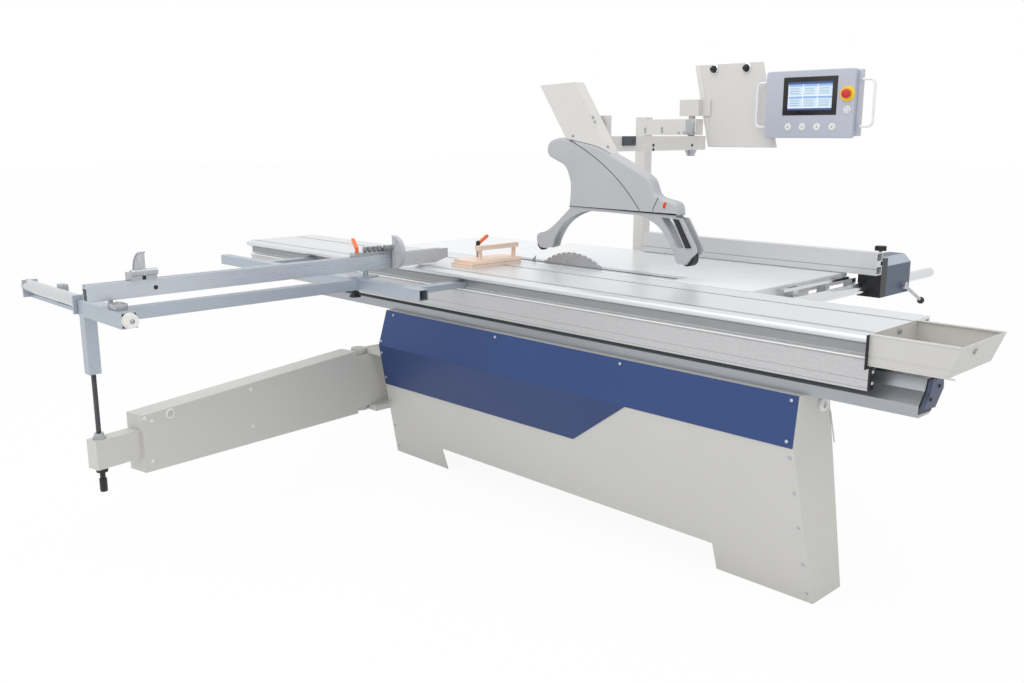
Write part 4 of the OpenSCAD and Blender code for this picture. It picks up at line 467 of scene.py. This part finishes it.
# The thread's crests are mixed lighter and its roots darker along with the bump: painted highlight and
# painted shade.
thread.feed(Base_Color=thread.mix(pitch * 0.5 + 0.5, tone(48, 48, 52), tone(128, 129, 134)),
            Normal=thread.bump(pitch, depth=0.0008))
dress(thread, "support_rod")
rod_place = facing((-0.660, -1.939, 0), upward)
rod_foot_outline = [(0, 0.2305), (0.011, 0.2305), (0.0125, 0.233), (0.0125, 0.276), (0.009, 0.278),
                    (0.009, 0.300), (0.019, 0.300), (0.019, 0.312), (0, 0.312)]
rod_foot = bmesh.new()
turned(rod_foot, rod_foot_outline, rod_place)
put("rod_foot", rod_foot, "arm_inner", black)
collar_outline = [(0.009, 0.416), (0.021, 0.416), (0.021, 0.424), (0.016, 0.426), (0.016, 0.436),
                  (0.009, 0.437)]
rod_collar = bmesh.new()
turned(rod_collar, collar_outline, rod_place)
put("rod_collar", rod_collar, "arm_inner", steel)


# Crosscut fence, its stops and clamp levers
# Anodised fence with a slot along its top; two flip stops with ribbed plates ride on it, one with
# knurled knobs, and glossy orange levers clamp that stop and the shoe.
fence_skin = drawn_metal("fence_aluminium", (194, 201, 209), rough=0.3, metallic=0.6, along=(40, 1, 40))
dress(fence_skin, "crosscut_fence")
dress(steel, "stop_a_base", "stop_b_base")
stop_skin = paint("stop_casting", (186, 188, 192), rough=0.38, spread=0.08)
dress(stop_skin, "stop_a_flap", "stop_b_flap")
dress(paint("orange_plastic", (232, 108, 52), rough=0.3, spread=0.06), "stop_lever", "shoe_lever")
# A black disc on the fence's side stands for the shade inside a hole there: painted shade.
hole_shade_outline = [(0, 0.0004), (0.005, 0.0004), (0.007, 0.001), (0.008, -0.001), (0, -0.001)]
hole_shade_disc = bmesh.new()
turned(hole_shade_disc, hole_shade_outline, facing((-0.460, -1.7935, 0.9335), to_operator), 20)
put("fence_hole_painted_shade", hole_shade_disc, "fence", black)


def stop_ribs(mesh, centre, plate_y, radius, start, sweep, spokes):
    """Rim and spokes on both faces of a stop's plate."""
    near, far, rib_thick, spoke_thick = 0.004, 0.009, 0.004, 0.003
    for way in (-1, 1):
        part = bmesh.new()
        corners = ((radius, near), (radius, far), (radius - rib_thick, far), (radius - rib_thick, near))
        part.faces.new([part.verts.new((reach, way * side, 0)) for reach, side in corners])
        bmesh.ops.rotate(part, verts=part.verts, matrix=Matrix.Rotation(-start, 3, "Y"))
        bmesh.ops.spin(part, geom=part.verts[:] + part.edges[:] + part.faces[:], cent=(0, 0, 0),
                       axis=(0, -1, 0), angle=sweep, steps=24)
        for turn in spokes:
            place = Matrix.Translation((radius * 0.5, way * 0.007, 0))
            place @= Matrix.Diagonal((radius * 0.98, spoke_thick, rib_thick, 1))
            bmesh.ops.create_cube(part, size=1, matrix=Matrix.Rotation(-turn, 4, "Y") @ place)
        bmesh.ops.recalc_face_normals(part, faces=part.faces)
        join(mesh, part, Matrix.Translation((centre[0], plate_y, centre[1])))


rib_radius, quarter = 0.064, math.pi / 2
ribs_b, ribs_a = bmesh.new(), bmesh.new()
stop_ribs(ribs_b, (-0.452, 0.969), -0.850, rib_radius, -quarter, 2 * quarter, spokes=(-1.0, 0.0, 1.0))
put("stop_b_ribs", ribs_b, "stop_b_flap", stop_skin)
stop_ribs(ribs_a, (-0.452, 0.987), -1.832, rib_radius, quarter, quarter, spokes=(2.36,))
put("stop_a_ribs", ribs_a, "stop_a_flap", stop_skin)
knurled = Finish("knurled_steel", Metallic=0.85, Roughness=0.35)
x, _, z = knurled.place()
knurl = (x + z).wave(4200.0) * (x - z).wave(4200.0)
# The knurl's ridges are mixed lighter and its grooves darker along with the bump: painted highlight and
# painted shade.
knurled.feed(Base_Color=knurled.mix(knurl * 0.5 + 0.5, tone(110, 112, 116), tone(206, 208, 211)),
             Normal=knurled.bump(knurl, depth=0.0004))
knob_x, knob_z = -0.474, 0.9695
knobs = bmesh.new()
for y, radius in ((-0.968, 0.009), (-0.946, 0.012), (-0.922, 0.010), (-0.902, 0.012)):
    neck = radius * 0.6
    knob_outline = [(0, 0.026), (radius * 0.8, 0.026), (radius, 0.023), (radius, 0.010), (neck, 0.008),
                    (neck, -0.004), (0, -0.004)]
    turned(knobs, knob_outline, facing((knob_x, y, knob_z), upward), 24)
put("stop_b_knobs", knobs, "stop_b", knurled)
stud_x, stud_y = -0.362, -0.493
nut_outline = [(0, 0.018), (0.004, 0.018), (0.0085, 0.014), (0.0085, 0.000), (0.012, -0.002),
               (0.012, -0.006), (0, -0.006)]
nut = bmesh.new()
turned(nut, nut_outline, facing((stud_x, stud_y, 0.974), upward), 24)
put("shoe_lever_nut", nut, "shoe_lever", black)


# Edging shoe
# Beech board glued up in two layers, with its grain along it and a handle bar on two posts; the
# lever's steel stud comes up through it.
def distance(first, second, centre):
    """How far a point of the surface lies from a centre, on two axes."""
    return ((first - centre[0]) ** 2.0 + (second - centre[1]) ** 2.0) ** 0.5


beech = Finish("beech", Roughness=0.5)
layer_z, glue_half, board_top, stud_radius = 0.9125, 0.0006, 0.9264, 0.0075
x, y, z = beech.place()
warp = beech.noise(scale=6.0, stretch=(1, 0.3, 1))
rings = ((x + warp * 0.05) * 2.1 + z).wave(200.0)
fleck = beech.noise(scale=130.0, stretch=(1, 0.06, 1))
wood = beech.mix(rings * 0.25 + fleck * 0.6, tone(226, 200, 180), tone(245, 227, 213))
wood = beech.mix(abs(z - layer_z) < glue_half, wood, tone(168, 128, 98))
stud = (z > board_top) * (distance(x, y, (stud_x, stud_y)) < stud_radius)
beech.feed(Base_Color=beech.mix(stud, wood, tone(120, 122, 126)), Roughness=fleck * 0.2 + 0.4,
           Normal=beech.bump(fleck, depth=0.0002))
dress(beech, "edging_shoe")


# Tables and insert
# Ground cast tables: pale, with very fine milling marks along them; the insert round the blade is
# bright aluminium.
ground = Finish("ground_iron", Metallic=0.15)
mill, patch = ground.noise(scale=30.0, detail=3.0, stretch=(1, 30, 1)), ground.noise(scale=5.0, detail=3.0)
ground.feed(Base_Color=ground.mix(mill * 0.5 + patch * 0.5, tone(216, 219, 222), tone(234, 236, 238)),
            Roughness=patch * 0.05 + 0.20, Normal=ground.bump(mill, depth=0.00001))
dress(ground, "main_table", "outfeed_table")
dress(drawn_metal("insert_aluminium", (190, 193, 197)), "table_insert")


# Rip fence, its carrier and bar
# Aluminium fence on a carrier that slides on a chromed bar: black end plate, painted block with a
# pale bevel, steel lever with a black ball, and a black star knob.
chrome = drawn_metal("chrome_bar", (214, 216, 219), rough=0.14, metallic=1.0, along=(30, 1, 30), spread=0.06)
dress(chrome, "rip_bar")
rip_skin = drawn_metal("rip_aluminium", (208, 209, 211), rough=0.34, metallic=0.35, along=(1, 40, 40))
seam_z, seam_half = 0.9260, 0.0014
_, _, z = rip_skin.place()
seam = (abs(z - seam_z) < seam_half) * 0.6
rip_skin.feed(Base_Color=rip_skin.mix(seam, rip_skin.coat(), tone(96, 99, 104)))
dress(rip_skin, "rip_fence")
carrier = Finish("carrier_coat", Roughness=0.42)
carrier_x1, _, carrier_z1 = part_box("rip_carrier")[1]
plate_y, bevel_reach = 0.3920, 0.0295
x, y, z = carrier.place()
speck = carrier.noise(scale=700.0, detail=1.0)
bevel = ((carrier_x1 - x) + (carrier_z1 - z)) < bevel_reach
coat = carrier.mix(speck, tone(60, 74, 96), tone(80, 94, 116))
coat = carrier.mix(bevel, coat, tone(172, 181, 192))
plate = carrier.mix(speck, tone(22, 23, 26), tone(40, 41, 45))
carrier.feed(Base_Color=carrier.mix(y < plate_y, coat, plate), Normal=carrier.bump(speck, depth=0.0001))
dress(carrier, "rip_carrier")
lever = Finish("lever_steel")
ball_at, ball_radius = (0.6882, 0.7679), 0.0145
_, y, z = lever.place()
ball = distance(y, z, ball_at) < ball_radius
mark = lever.noise(scale=60.0)
shaft = lever.mix(mark, tone(160, 163, 168), tone(205, 207, 210))
lever.feed(Base_Color=lever.mix(ball, shaft, tone(20, 20, 22)), Metallic=(1.0 - ball) * 0.85,
           Roughness=mark * 0.1 + 0.22)
dress(lever, "rip_lever")
dress(black, "rip_knob")


# Saw unit under the table
# Cast iron trunnions, cradle and rise arm in dark grey, motor, rubber belt, turned arbor and pulley,
# and the blades: bright discs ground in circles round the arbor.
iron = paint("iron_casting", (74, 78, 84), rough=0.6, spread=0.15, grain=300.0, depth=0.0003)
dress(iron, "trunnions", "tilt_cradle", "rise_arm")
dress(paint("motor_coat", (66, 84, 112), rough=0.45, spread=0.1), "drive_motor")
dress(paint("belt_rubber", (30, 30, 31), rough=0.75, spread=0.25, grain=500.0), "drive_belt")
dress(steel, "saw_arbor", "motor_pulley")


def blade_steel(name, blade, colour):
    finish, arbor = Finish(name, Metallic=0.9), middle(blade)
    x, _, z = finish.place()
    cuts = distance(x, z, (arbor.x, arbor.z)).wave(2600.0)
    mark = finish.noise(scale=40.0)
    finish.feed(Base_Color=finish.mix(cuts * 0.2 + mark * 0.6, tone(*colour, 0.85), tone(*colour)),
                Roughness=mark * 0.15 + 0.22, Normal=finish.bump(cuts, depth=0.00003))
    return finish


dress(blade_steel("saw_blade_steel", "saw_blade", (196, 199, 203)), "saw_blade", "riving_knife")
dress(blade_steel("scoring_blade_steel", "scoring_blade", (190, 193, 198)), "scoring_blade")


# Guard column, head and boom
# Painted column and arm behind the table that carry the guard, with steel screws in the head. The
# boom swings on the steel pin, and an iron clamp is screwed to its side.
speckled = paint("speckled_coat", (214, 212, 209), rough=0.4, spread=0.12, grain=420.0, depth=0.0001)
dress(speckled, "guard_column", "guard_boom")
to_front, head_front, lower_row = (0, -1, 0), 0.364, 1.417
head_screws = bmesh.new()
for x, z in ((-0.203, 1.434), (-0.203, 1.420), (-0.112, 1.4355), (-0.111, 1.4215)):
    screw_head(head_screws, (x, head_front, z), to_front, radius=0.006)
for x in (-0.022, 0.005, 0.045, 0.058):
    screw_head(head_screws, (x, head_front, lower_row), to_front, radius=0.005)
put("head_screws", head_screws, "frame", steel)
pin_nut_outline = [(0.0140, 1.3440), (0.024, 1.3440), (0.024, 1.334), (0.019, 1.333), (0.019, 1.322),
                   (0.0140, 1.321)]
pin_plate_at, pin_plate = (0.036, 0.36275, 1.440), (0.044, 0.0065, 0.061)
pin_fittings = bmesh.new()
slab(pin_fittings, pin_plate_at, pin_plate, edge=0.003)
turned(pin_fittings, pin_nut_outline, facing((0.025, 0.390, 0), upward))
put("pin_fittings", pin_fittings, "frame", steel)
boom_screws = bmesh.new()
for y, z in ((0.088, 1.367), (0.088, 1.3495), (0.353, 1.365)):
    screw_head(boom_screws, (0.057, y, z), to_operator, radius=0.006)
put("boom_screws", boom_screws, "boom", black)
clamp_size, clamp_face = Vector((0.0075, 0.080, 0.0365)), 0.0640
boom_clamp = bmesh.new()
slab(boom_clamp, (clamp_face - clamp_size.x / 2, -0.071, 1.38525), clamp_size, edge=0.002)
screw_head(boom_clamp, (clamp_face, -0.050, 1.386), to_operator, radius=0.008)
put("boom_clamp", boom_clamp, "boom", iron)


# Hood
# Moulded grey hood with well rounded edges over the blade; a dark seam parts its two halves, a red
# catch sits near the nose, and ribbed black rubber covers the grip.
def rod(mesh, points, radius, corner, arc_steps=8):
    """A round bar through points, with its corners bent."""
    points = [Vector(point) for point in points]
    run = [points[0]]
    for before, bend, after in zip(points, points[1:], points[2:]):
        into, away = (before - bend).normalized() * corner, (after - bend).normalized() * corner
        shares = [step / arc_steps for step in range(arc_steps + 1)]
        run += [bend + into * (1 - share) ** 2 + away * share ** 2 for share in shares]
    run.append(points[-1])
    curve = bpy.data.curves.new("rod", "CURVE")
    curve.dimensions, curve.bevel_depth, curve.bevel_resolution = "3D", radius, 3
    line = curve.splines.new("POLY")
    line.points.add(len(run) - 1)
    for point, place in zip(line.points, run):
        point.co = (*place, 1)
    holder = bpy.data.objects.new("rod", curve)
    mesh.from_mesh(holder.to_mesh())
    holder.to_mesh_clear()
    bpy.data.objects.remove(holder)
    bpy.data.curves.remove(curve)


def curve_point(a, b, c, d, t):
    """A point on the smooth curve from b to c that comes from a and goes on to d."""
    return (2 * b + (c - a) * t + (2 * a - 5 * b + 4 * c - d) * t ** 2 + (3 * b - a - 3 * c + d) * t ** 3) / 2


hood_shares = [Vector(share) for share in (
    (0.18, 0.03), (0.19, 0.26), (0.183, 0.424), (0.141, 0.606), (0.065, 0.684), (0, 0.766), (0.006, 0.93),
    (0.09, 1), (0.186, 0.978), (0.397, 0.892), (0.539, 0.762), (0.663, 0.636), (0.79, 0.48), (0.847, 0.26),
    (0.979, 0.178), (1, 0.02))]
last, between = len(hood_shares) - 1, 5
hood_line = [curve_point(hood_shares[max(k - 1, 0)], hood_shares[k], hood_shares[k + 1],
                         hood_shares[min(k + 2, last)], step / between)
             for k in range(last) for step in range(between)] + [hood_shares[last]]
(_, hood_y0, _), (_, hood_y1, _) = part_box("hood")
hood_x, hood_z, hood_wide, hood_tall = -0.168, 1.124, 0.638, 0.273
round_off, round_steps, mouth_top = 0.013, 6, 1.14
shell = bmesh.new()
rim = [shell.verts.new((hood_x + share.x * hood_wide, hood_y0 + round_off, hood_z + share.y * hood_tall))
       for share in hood_line]
pull(shell, shell.faces.new(rim), (0, hood_y1 - hood_y0 - 2 * round_off, 0))
for way in (-1, 1):
    flat = next(side for side in shell.faces if side.normal.y * way > 0.99 and len(side.verts) == len(rim))
    turns = [quarter * step / round_steps for step in range(round_steps + 1)]
    for start, end in zip(turns, turns[1:]):
        bmesh.ops.inset_region(shell, faces=[flat], thickness=round_off * (math.cos(start) - math.cos(end)),
                               depth=round_off * (math.sin(end) - math.sin(start)), use_even_offset=False)
mouth = [side for side in shell.faces if side.normal.z < -0.7 and side.calc_center_median().z < mouth_top]
bmesh.ops.delete(shell, geom=mouth, context="FACES")
hood_skin = Finish("hood_coat")
speck, cloud = hood_skin.noise(scale=1200.0, detail=1.0), hood_skin.noise(scale=4.0)
coat = hood_skin.mix(cloud * 0.7 + speck * 0.3, tone(172, 174, 178), tone(188, 190, 194))
hood_skin.feed(Base_Color=coat, Roughness=cloud * 0.1 + 0.3, Normal=hood_skin.bump(speck, depth=0.00006))
hood = put("hood_shell", shell, "hood", hood_skin)
wall = hood.modifiers.new("wall", "SOLIDIFY")
wall.thickness, wall.offset = 0.003, -1
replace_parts(hood, "hood")
seam_y, seam_radius = hood_y0 + 0.0004, 0.0017
seam_xs = [0.01 * step - 0.05 for step in range(36)]
# The seam falls in a bowed line from the hood's top to its lower edge.
seam_run = [(x, seam_y, ((-1.8631 * x - 0.3859) * x - 0.47518) * x + 1.36718) for x in seam_xs]
nose_run = [(0.3617, seam_y, 1.1400), (0.3617, seam_y, 1.1493), (0.3830, seam_y, 1.1883)]
seam = bmesh.new()
rod(seam, seam_run, seam_radius, corner=0.002)
rod(seam, nose_run, seam_radius, corner=0.003)
put("hood_seam", seam, "hood", paint("seam_shade", (78, 80, 85), rough=0.6, spread=0.1))
dress(hood_skin, "hood_frame")
dress(speckled, "hood_duct")
rubber = Finish("ribbed_grip", Roughness=0.55)
x, _, z = rubber.place()
rib = (x * 0.55 + z).wave(1100.0)
# Besides the rubber's own mottling, the ribs' crests are mixed a little lighter than their grooves: painted
# shade.
share = rubber.noise(scale=80.0) * 0.5 + rib * 0.15
rubber.feed(Base_Color=rubber.mix(share, tone(24, 25, 27), tone(52, 53, 57)),
            Normal=rubber.bump(rib, depth=0.0009))
dress(rubber, "hood_handle")
catch_place = Matrix.Translation((0.4135, -0.29875, 1.1635)) @ Matrix.Rotation(math.radians(20), 4, "Y")
catch = bmesh.new()
slab(catch, (0, 0, 0), (0.009, 0.0035, 0.022), edge=0.004, steps=4)
catch.transform(catch_place)
put("hood_catch", catch, "hood", paint("red_orange_plastic", (226, 74, 40), rough=0.3))
duct_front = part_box("hood_duct")[0][1]
duct_bolts = bmesh.new()
for x, z in ((0.0657, 1.474), (0.076, 1.4575), (-0.034, 1.405), (0.142, 1.366)):
    screw_head(duct_bolts, (x, duct_front, z), to_front, radius=0.006)
put("duct_bolts", duct_bolts, "hood", steel)


# Hood wheels
# Two black tyres on pale hubs that turn on pins in the hood's cheeks and roll on the work in front
# of and behind the blade.
hub_radius = 0.016
for name in ("hood_wheel_front", "hood_wheel_rear"):
    tyre, pin = Finish(name + "_rubber", Roughness=0.5), middle(name)
    x, _, z = tyre.place()
    grain = tyre.noise(scale=200.0)
    tread = tyre.mix(grain, tone(22, 22, 24), tone(40, 40, 43))
    hub = tyre.mix(grain, tone(176, 178, 182), tone(200, 202, 205))
    tyre.feed(Base_Color=tyre.mix(distance(x, z, (pin.x, pin.z)) < hub_radius, tread, hub),
              Normal=tyre.bump(grain, depth=0.0002))
    dress(tyre, name)


# Control panel
# Lavender-grey box with rounded corners on a speckled plate: tube handles at both sides, a black
# bezel with a bright screen, white push buttons and a red stop button on a yellow ring.
dress(speckled, "panel_arm")
plate_y, fold_thick, plate_lean = 0.3994, 0.0032, -80 / 335
folds = bmesh.new()
slab(folds, (0, plate_y, 0), (0.025, fold_thick, 0.333), edge=0.001)
folds.transform(Matrix(((1, 0, plate_lean, 0.0785), (0, 1, 0, 0), (0, 0, 1, 1.5255), (0, 0, 0, 1))))
slab(folds, (0.276, plate_y, 1.3635), (0.296, fold_thick, 0.009), edge=0.001)
put("plate_folds", folds, "panel", speckled)
panel_skin = Finish("panel_coat")
back_y, case_x, case_half = 0.3865, 0.590, 0.1975
x, y, _ = panel_skin.place()
cloud, speck = panel_skin.noise(scale=2.5, detail=3.0), panel_skin.noise(scale=900.0, detail=1.0)
coat = panel_skin.mix(cloud * 0.75 + speck * 0.25, tone(178, 182, 194), tone(190, 194, 207))
coat = panel_skin.mix(y > back_y, coat, tone(196, 195, 193))
coat = panel_skin.mix(abs(x - case_x) > case_half, coat, tone(232, 233, 236))
panel_skin.feed(Base_Color=coat, Roughness=cloud * 0.1 + 0.3, Normal=panel_skin.bump(speck, depth=0.00006))


def depth_of(line):
    return abs((line.verts[0].co - line.verts[1].co).y)


case_at, case_size = (0.581, 0.373, 1.523), (0.372, 0.026, 0.254)
back_at, back_size = (0.595, 0.3925, 1.525), (0.380, 0.015, 0.242)
case = bmesh.new()
slab(case, case_at, case_size)
round_edges(case, [line for line in case.edges if depth_of(line) > 0.01], offset=0.012, steps=5)
round_edges(case, [line for line in case.edges if depth_of(line) < 0.001], offset=0.004, steps=3)
slab(case, back_at, back_size, edge=0.004)
handle_y, handle_low, handle_high, handle_radius = 0.380, 1.439, 1.609, 0.005
for near, far in ((0.783, 0.835), (0.397, 0.345)):
    bends = ((near, handle_low), (far, handle_low), (far, handle_high), (near, handle_high))
    rod(case, [(x, handle_y, z) for x, z in bends], handle_radius, corner=0.022)
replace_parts(put("panel_case", case, "panel", panel_skin), "control_panel")
bezel_at, bezel_size = (0.586, 0.3603, 1.5535), (0.226, 0.0034, 0.143)
bezel = bmesh.new()
slab(bezel, bezel_at, bezel_size, edge=0.0012)
bezel_skin = paint("bezel_glass", (12, 13, 16), rough=0.2, spread=0.2)
put("screen_bezel", bezel, "panel", bezel_skin)
screen_x, screen_z, screen_wide, screen_tall = 0.495, 1.501, 0.184, 0.105
foot_share, head_share = 0.07, 0.92
columns, cells, lines = 3.0, 2.0, 5.0
screen_skin = Finish("screen", Roughness=0.2, Emission_Strength=0.2)
x, _, z = screen_skin.place()
across, up = (x - screen_x) / screen_wide, (z - screen_z) / screen_tall
cell_x = (across * columns) % 1.0
cell_z = ((up - foot_share) / (head_share - foot_share) * cells) % 1.0
inside = (cell_x > 0.15) * (cell_x < 0.8) * (cell_z < 0.8) * (cell_z > 0.1)
rows = (((cell_z * lines) % 1.0) < 0.35) * inside
page = screen_skin.mix(screen_skin.noise(scale=9.0), tone(178, 200, 226), tone(206, 220, 236))
page = screen_skin.mix(rows * 0.55, page, tone(88, 142, 112))
page = screen_skin.mix((cell_z > 0.82) * (cell_x > 0.05), page, tone(136, 170, 214))
page = screen_skin.mix((cell_x < 0.05) + (cell_z < 0.06), page, tone(226, 234, 244))
page = screen_skin.mix((up > head_share) + (up < foot_share), page, tone(58, 82, 132))
screen_skin.feed(Base_Color=page, Emission_Color=page)
screen_at = (screen_x + screen_wide / 2, 0.3590, screen_z + screen_tall / 2)
screen = bmesh.new()
slab(screen, screen_at, (screen_wide, 0.0020, screen_tall), edge=0.0004, steps=1)
put("screen", screen, "panel", screen_skin)


def on_face(x, face_y, z):
    return facing((x, face_y, z), to_front)


panel_face, stop_x, stop_z = 0.360, 0.740, 1.558
ring_outline = [(0.014, 0), (0.014, 0.005), (0.022, 0.006), (0.028, 0.004), (0.029, 0), (0.014, 0)]
stop_ring = bmesh.new()
turned(stop_ring, ring_outline, on_face(stop_x, panel_face, stop_z))
put("stop_ring", stop_ring, "panel", paint("yellow_plastic", (238, 202, 44), rough=0.35))
key_xs, key_z, start_at = (0.501, 0.562, 0.624, 0.686), 1.438, (0.742, 1.500)
collar_outline = [(0.0095, -0.002), (0.0095, 0.002), (0.0115, 0.003), (0.0150, 0.0015), (0.0155, -0.002)]
base_outline = [(0.014, -0.002), (0.014, 0.0010), (0.0172, 0.0008), (0.0176, -0.002)]
button_rings, button_bases = bmesh.new(), bmesh.new()
for x, z in [*((key_x, key_z) for key_x in key_xs), start_at]:
    turned(button_rings, collar_outline, on_face(x, panel_face, z), 24)
    turned(button_bases, base_outline, on_face(x, panel_face, z), 24)
put("button_rings", button_rings, "panel", white)
put("button_bases", button_bases, "panel", steel)
plate_face = 0.400
washer_outline = [(0.012, -0.001), (0.012, 0.003), (0.016, 0.006), (0.020, 0.003), (0.020, -0.001)]
knob_outline = [(0, 0.024), (0.007, 0.024), (0.009, 0.020), (0.009, 0.008), (0.012, 0.006), (0.012, -0.001),
                (0, -0.001)]
knob_rings, plate_knobs = bmesh.new(), bmesh.new()
for x, z in ((0.122, 1.674), (0.278, 1.672)):
    turned(knob_rings, washer_outline, on_face(x, plate_face, z), 24)
    turned(plate_knobs, knob_outline, on_face(x, plate_face, z), 20)
put("knob_rings", knob_rings, "panel", chrome)
put("plate_knobs", plate_knobs, "panel", black)


# Buttons
# A red mushroom button for the emergency stop, a pale start button and four white keys with small
# dark signs on them.
mushroom_outline = [(0, 0.024), (0.006, 0.0238), (0.012, 0.0225), (0.0158, 0.0200), (0.017, 0.0165),
                    (0.0165, 0.0125), (0.010, 0.0115), (0.010, -0.008), (0, -0.008)]
mushroom = bmesh.new()
turned(mushroom, mushroom_outline, on_face(stop_x, panel_face, stop_z))
red = paint("red_plastic", (206, 40, 34), rough=0.3)
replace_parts(put("stop_mushroom", mushroom, "estop", red), "estop_button")
dress(paint("pale_key_plastic", (212, 215, 226), rough=0.3, spread=0.05), "start_button")
key_skin = paint("key_plastic", (232, 233, 236), rough=0.3, spread=0.03)
sign_radius, sign_thick = 0.004, 0.0006
for k, (x, turn) in enumerate(zip(key_xs, (0.0, math.pi, 0.5, -0.5)), 1):
    dress(key_skin, f"panel_button_{k}")
    face_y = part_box(f"panel_button_{k}")[0][1]
    flat_on = Matrix.Rotation(turn, 4, "Y") @ Matrix.Rotation(quarter, 4, "X")
    sign = bmesh.new()
    bmesh.ops.create_cone(sign, cap_ends=True, segments=3, radius1=sign_radius, radius2=sign_radius,
                          depth=sign_thick, matrix=Matrix.Translation((x, face_y, key_z)) @ flat_on)
    put(f"button_sign_{k}", sign, f"button_{k}", black)


# Studio
# White floor and background with a broad soft lamp overhead and a weak one in front; the floor
# keeps a faint shadow, and the camera stands where the photograph was taken.
def seen(nodes):
    """One where the camera looks, directly, in a reflection or through glass; zero elsewhere."""
    kinds = ("Is Camera Ray", "Is Glossy Ray", "Is Transmission Ray")
    camera_ray, glossy_ray, through_ray = (nodes.node("ShaderNodeLightPath", out=kind) for kind in kinds)
    return camera_ray | glossy_ray | through_ray


scene = bpy.context.scene
floor_white, room_light, pure_white = 0.94, 0.86, (1, 1, 1, 1)
floor_mesh, floor_data = bmesh.new(), bpy.data.meshes.new("floor")
bmesh.ops.create_grid(floor_mesh, x_segments=1, y_segments=1, size=40)
floor_mesh.to_mesh(floor_data)
floor_mesh.free()
floor = bpy.data.objects.new("floor", floor_data)
scene.collection.objects.link(floor)
pale = Finish("pale_floor", Base_Color=(0.93, 0.93, 0.93, 1), Roughness=0.9, Specular_IOR_Level=0.0)
glow = pale.node("ShaderNodeEmission", sockets={"Color": pure_white, "Strength": 1.0})
shaded = Value(pale, pale.shader.outputs[0])
blend = pale.node("ShaderNodeMixShader", sockets={0: seen(pale) * floor_white, 1: shaded, 2: glow})
pale.fill(pale.tree.nodes["Material Output"], {"Surface": blend})
floor_data.materials.append(pale.material)
scene.world = bpy.data.worlds.new("studio")
room = Nodes(scene.world)
level = room.node("ShaderNodeMapRange", sockets={"Value": seen(room), "To Min": room_light, "To Max": 1.0})
room.fill(room.tree.nodes["Background"], {"Color": pure_white, "Strength": level})
for name, place, target, size, power in (("key", (0.2, -1.6, 4.6), (-0.1, -0.6, 0.8), 5.0, 80),
                                         ("front", (-0.5, -5.5, 2.4), (0, -0.7, 0.7), 3.0, 14)):
    lamp = bpy.data.lights.new(name, "AREA")
    lamp.energy, lamp.size = power, size
    holder = bpy.data.objects.new(name, lamp)
    holder.location = place
    holder.rotation_euler = (Vector(target) - Vector(place)).to_track_quat("-Z", "Y").to_euler()
    scene.collection.objects.link(holder)
camera_down, camera_turn = math.radians(12.08), math.radians(45.76)
eye = bpy.data.cameras.new("camera")
eye.lens, eye.sensor_width = 34.2, 36.0
camera = bpy.data.objects.new("camera", eye)
camera.location = (2.5345, -3.1230, 1.4142)
camera.rotation_euler = (quarter - camera_down, 0, camera_turn)
scene.collection.objects.link(camera)
scene.camera = camera
scene.view_settings.view_transform = "Standard"
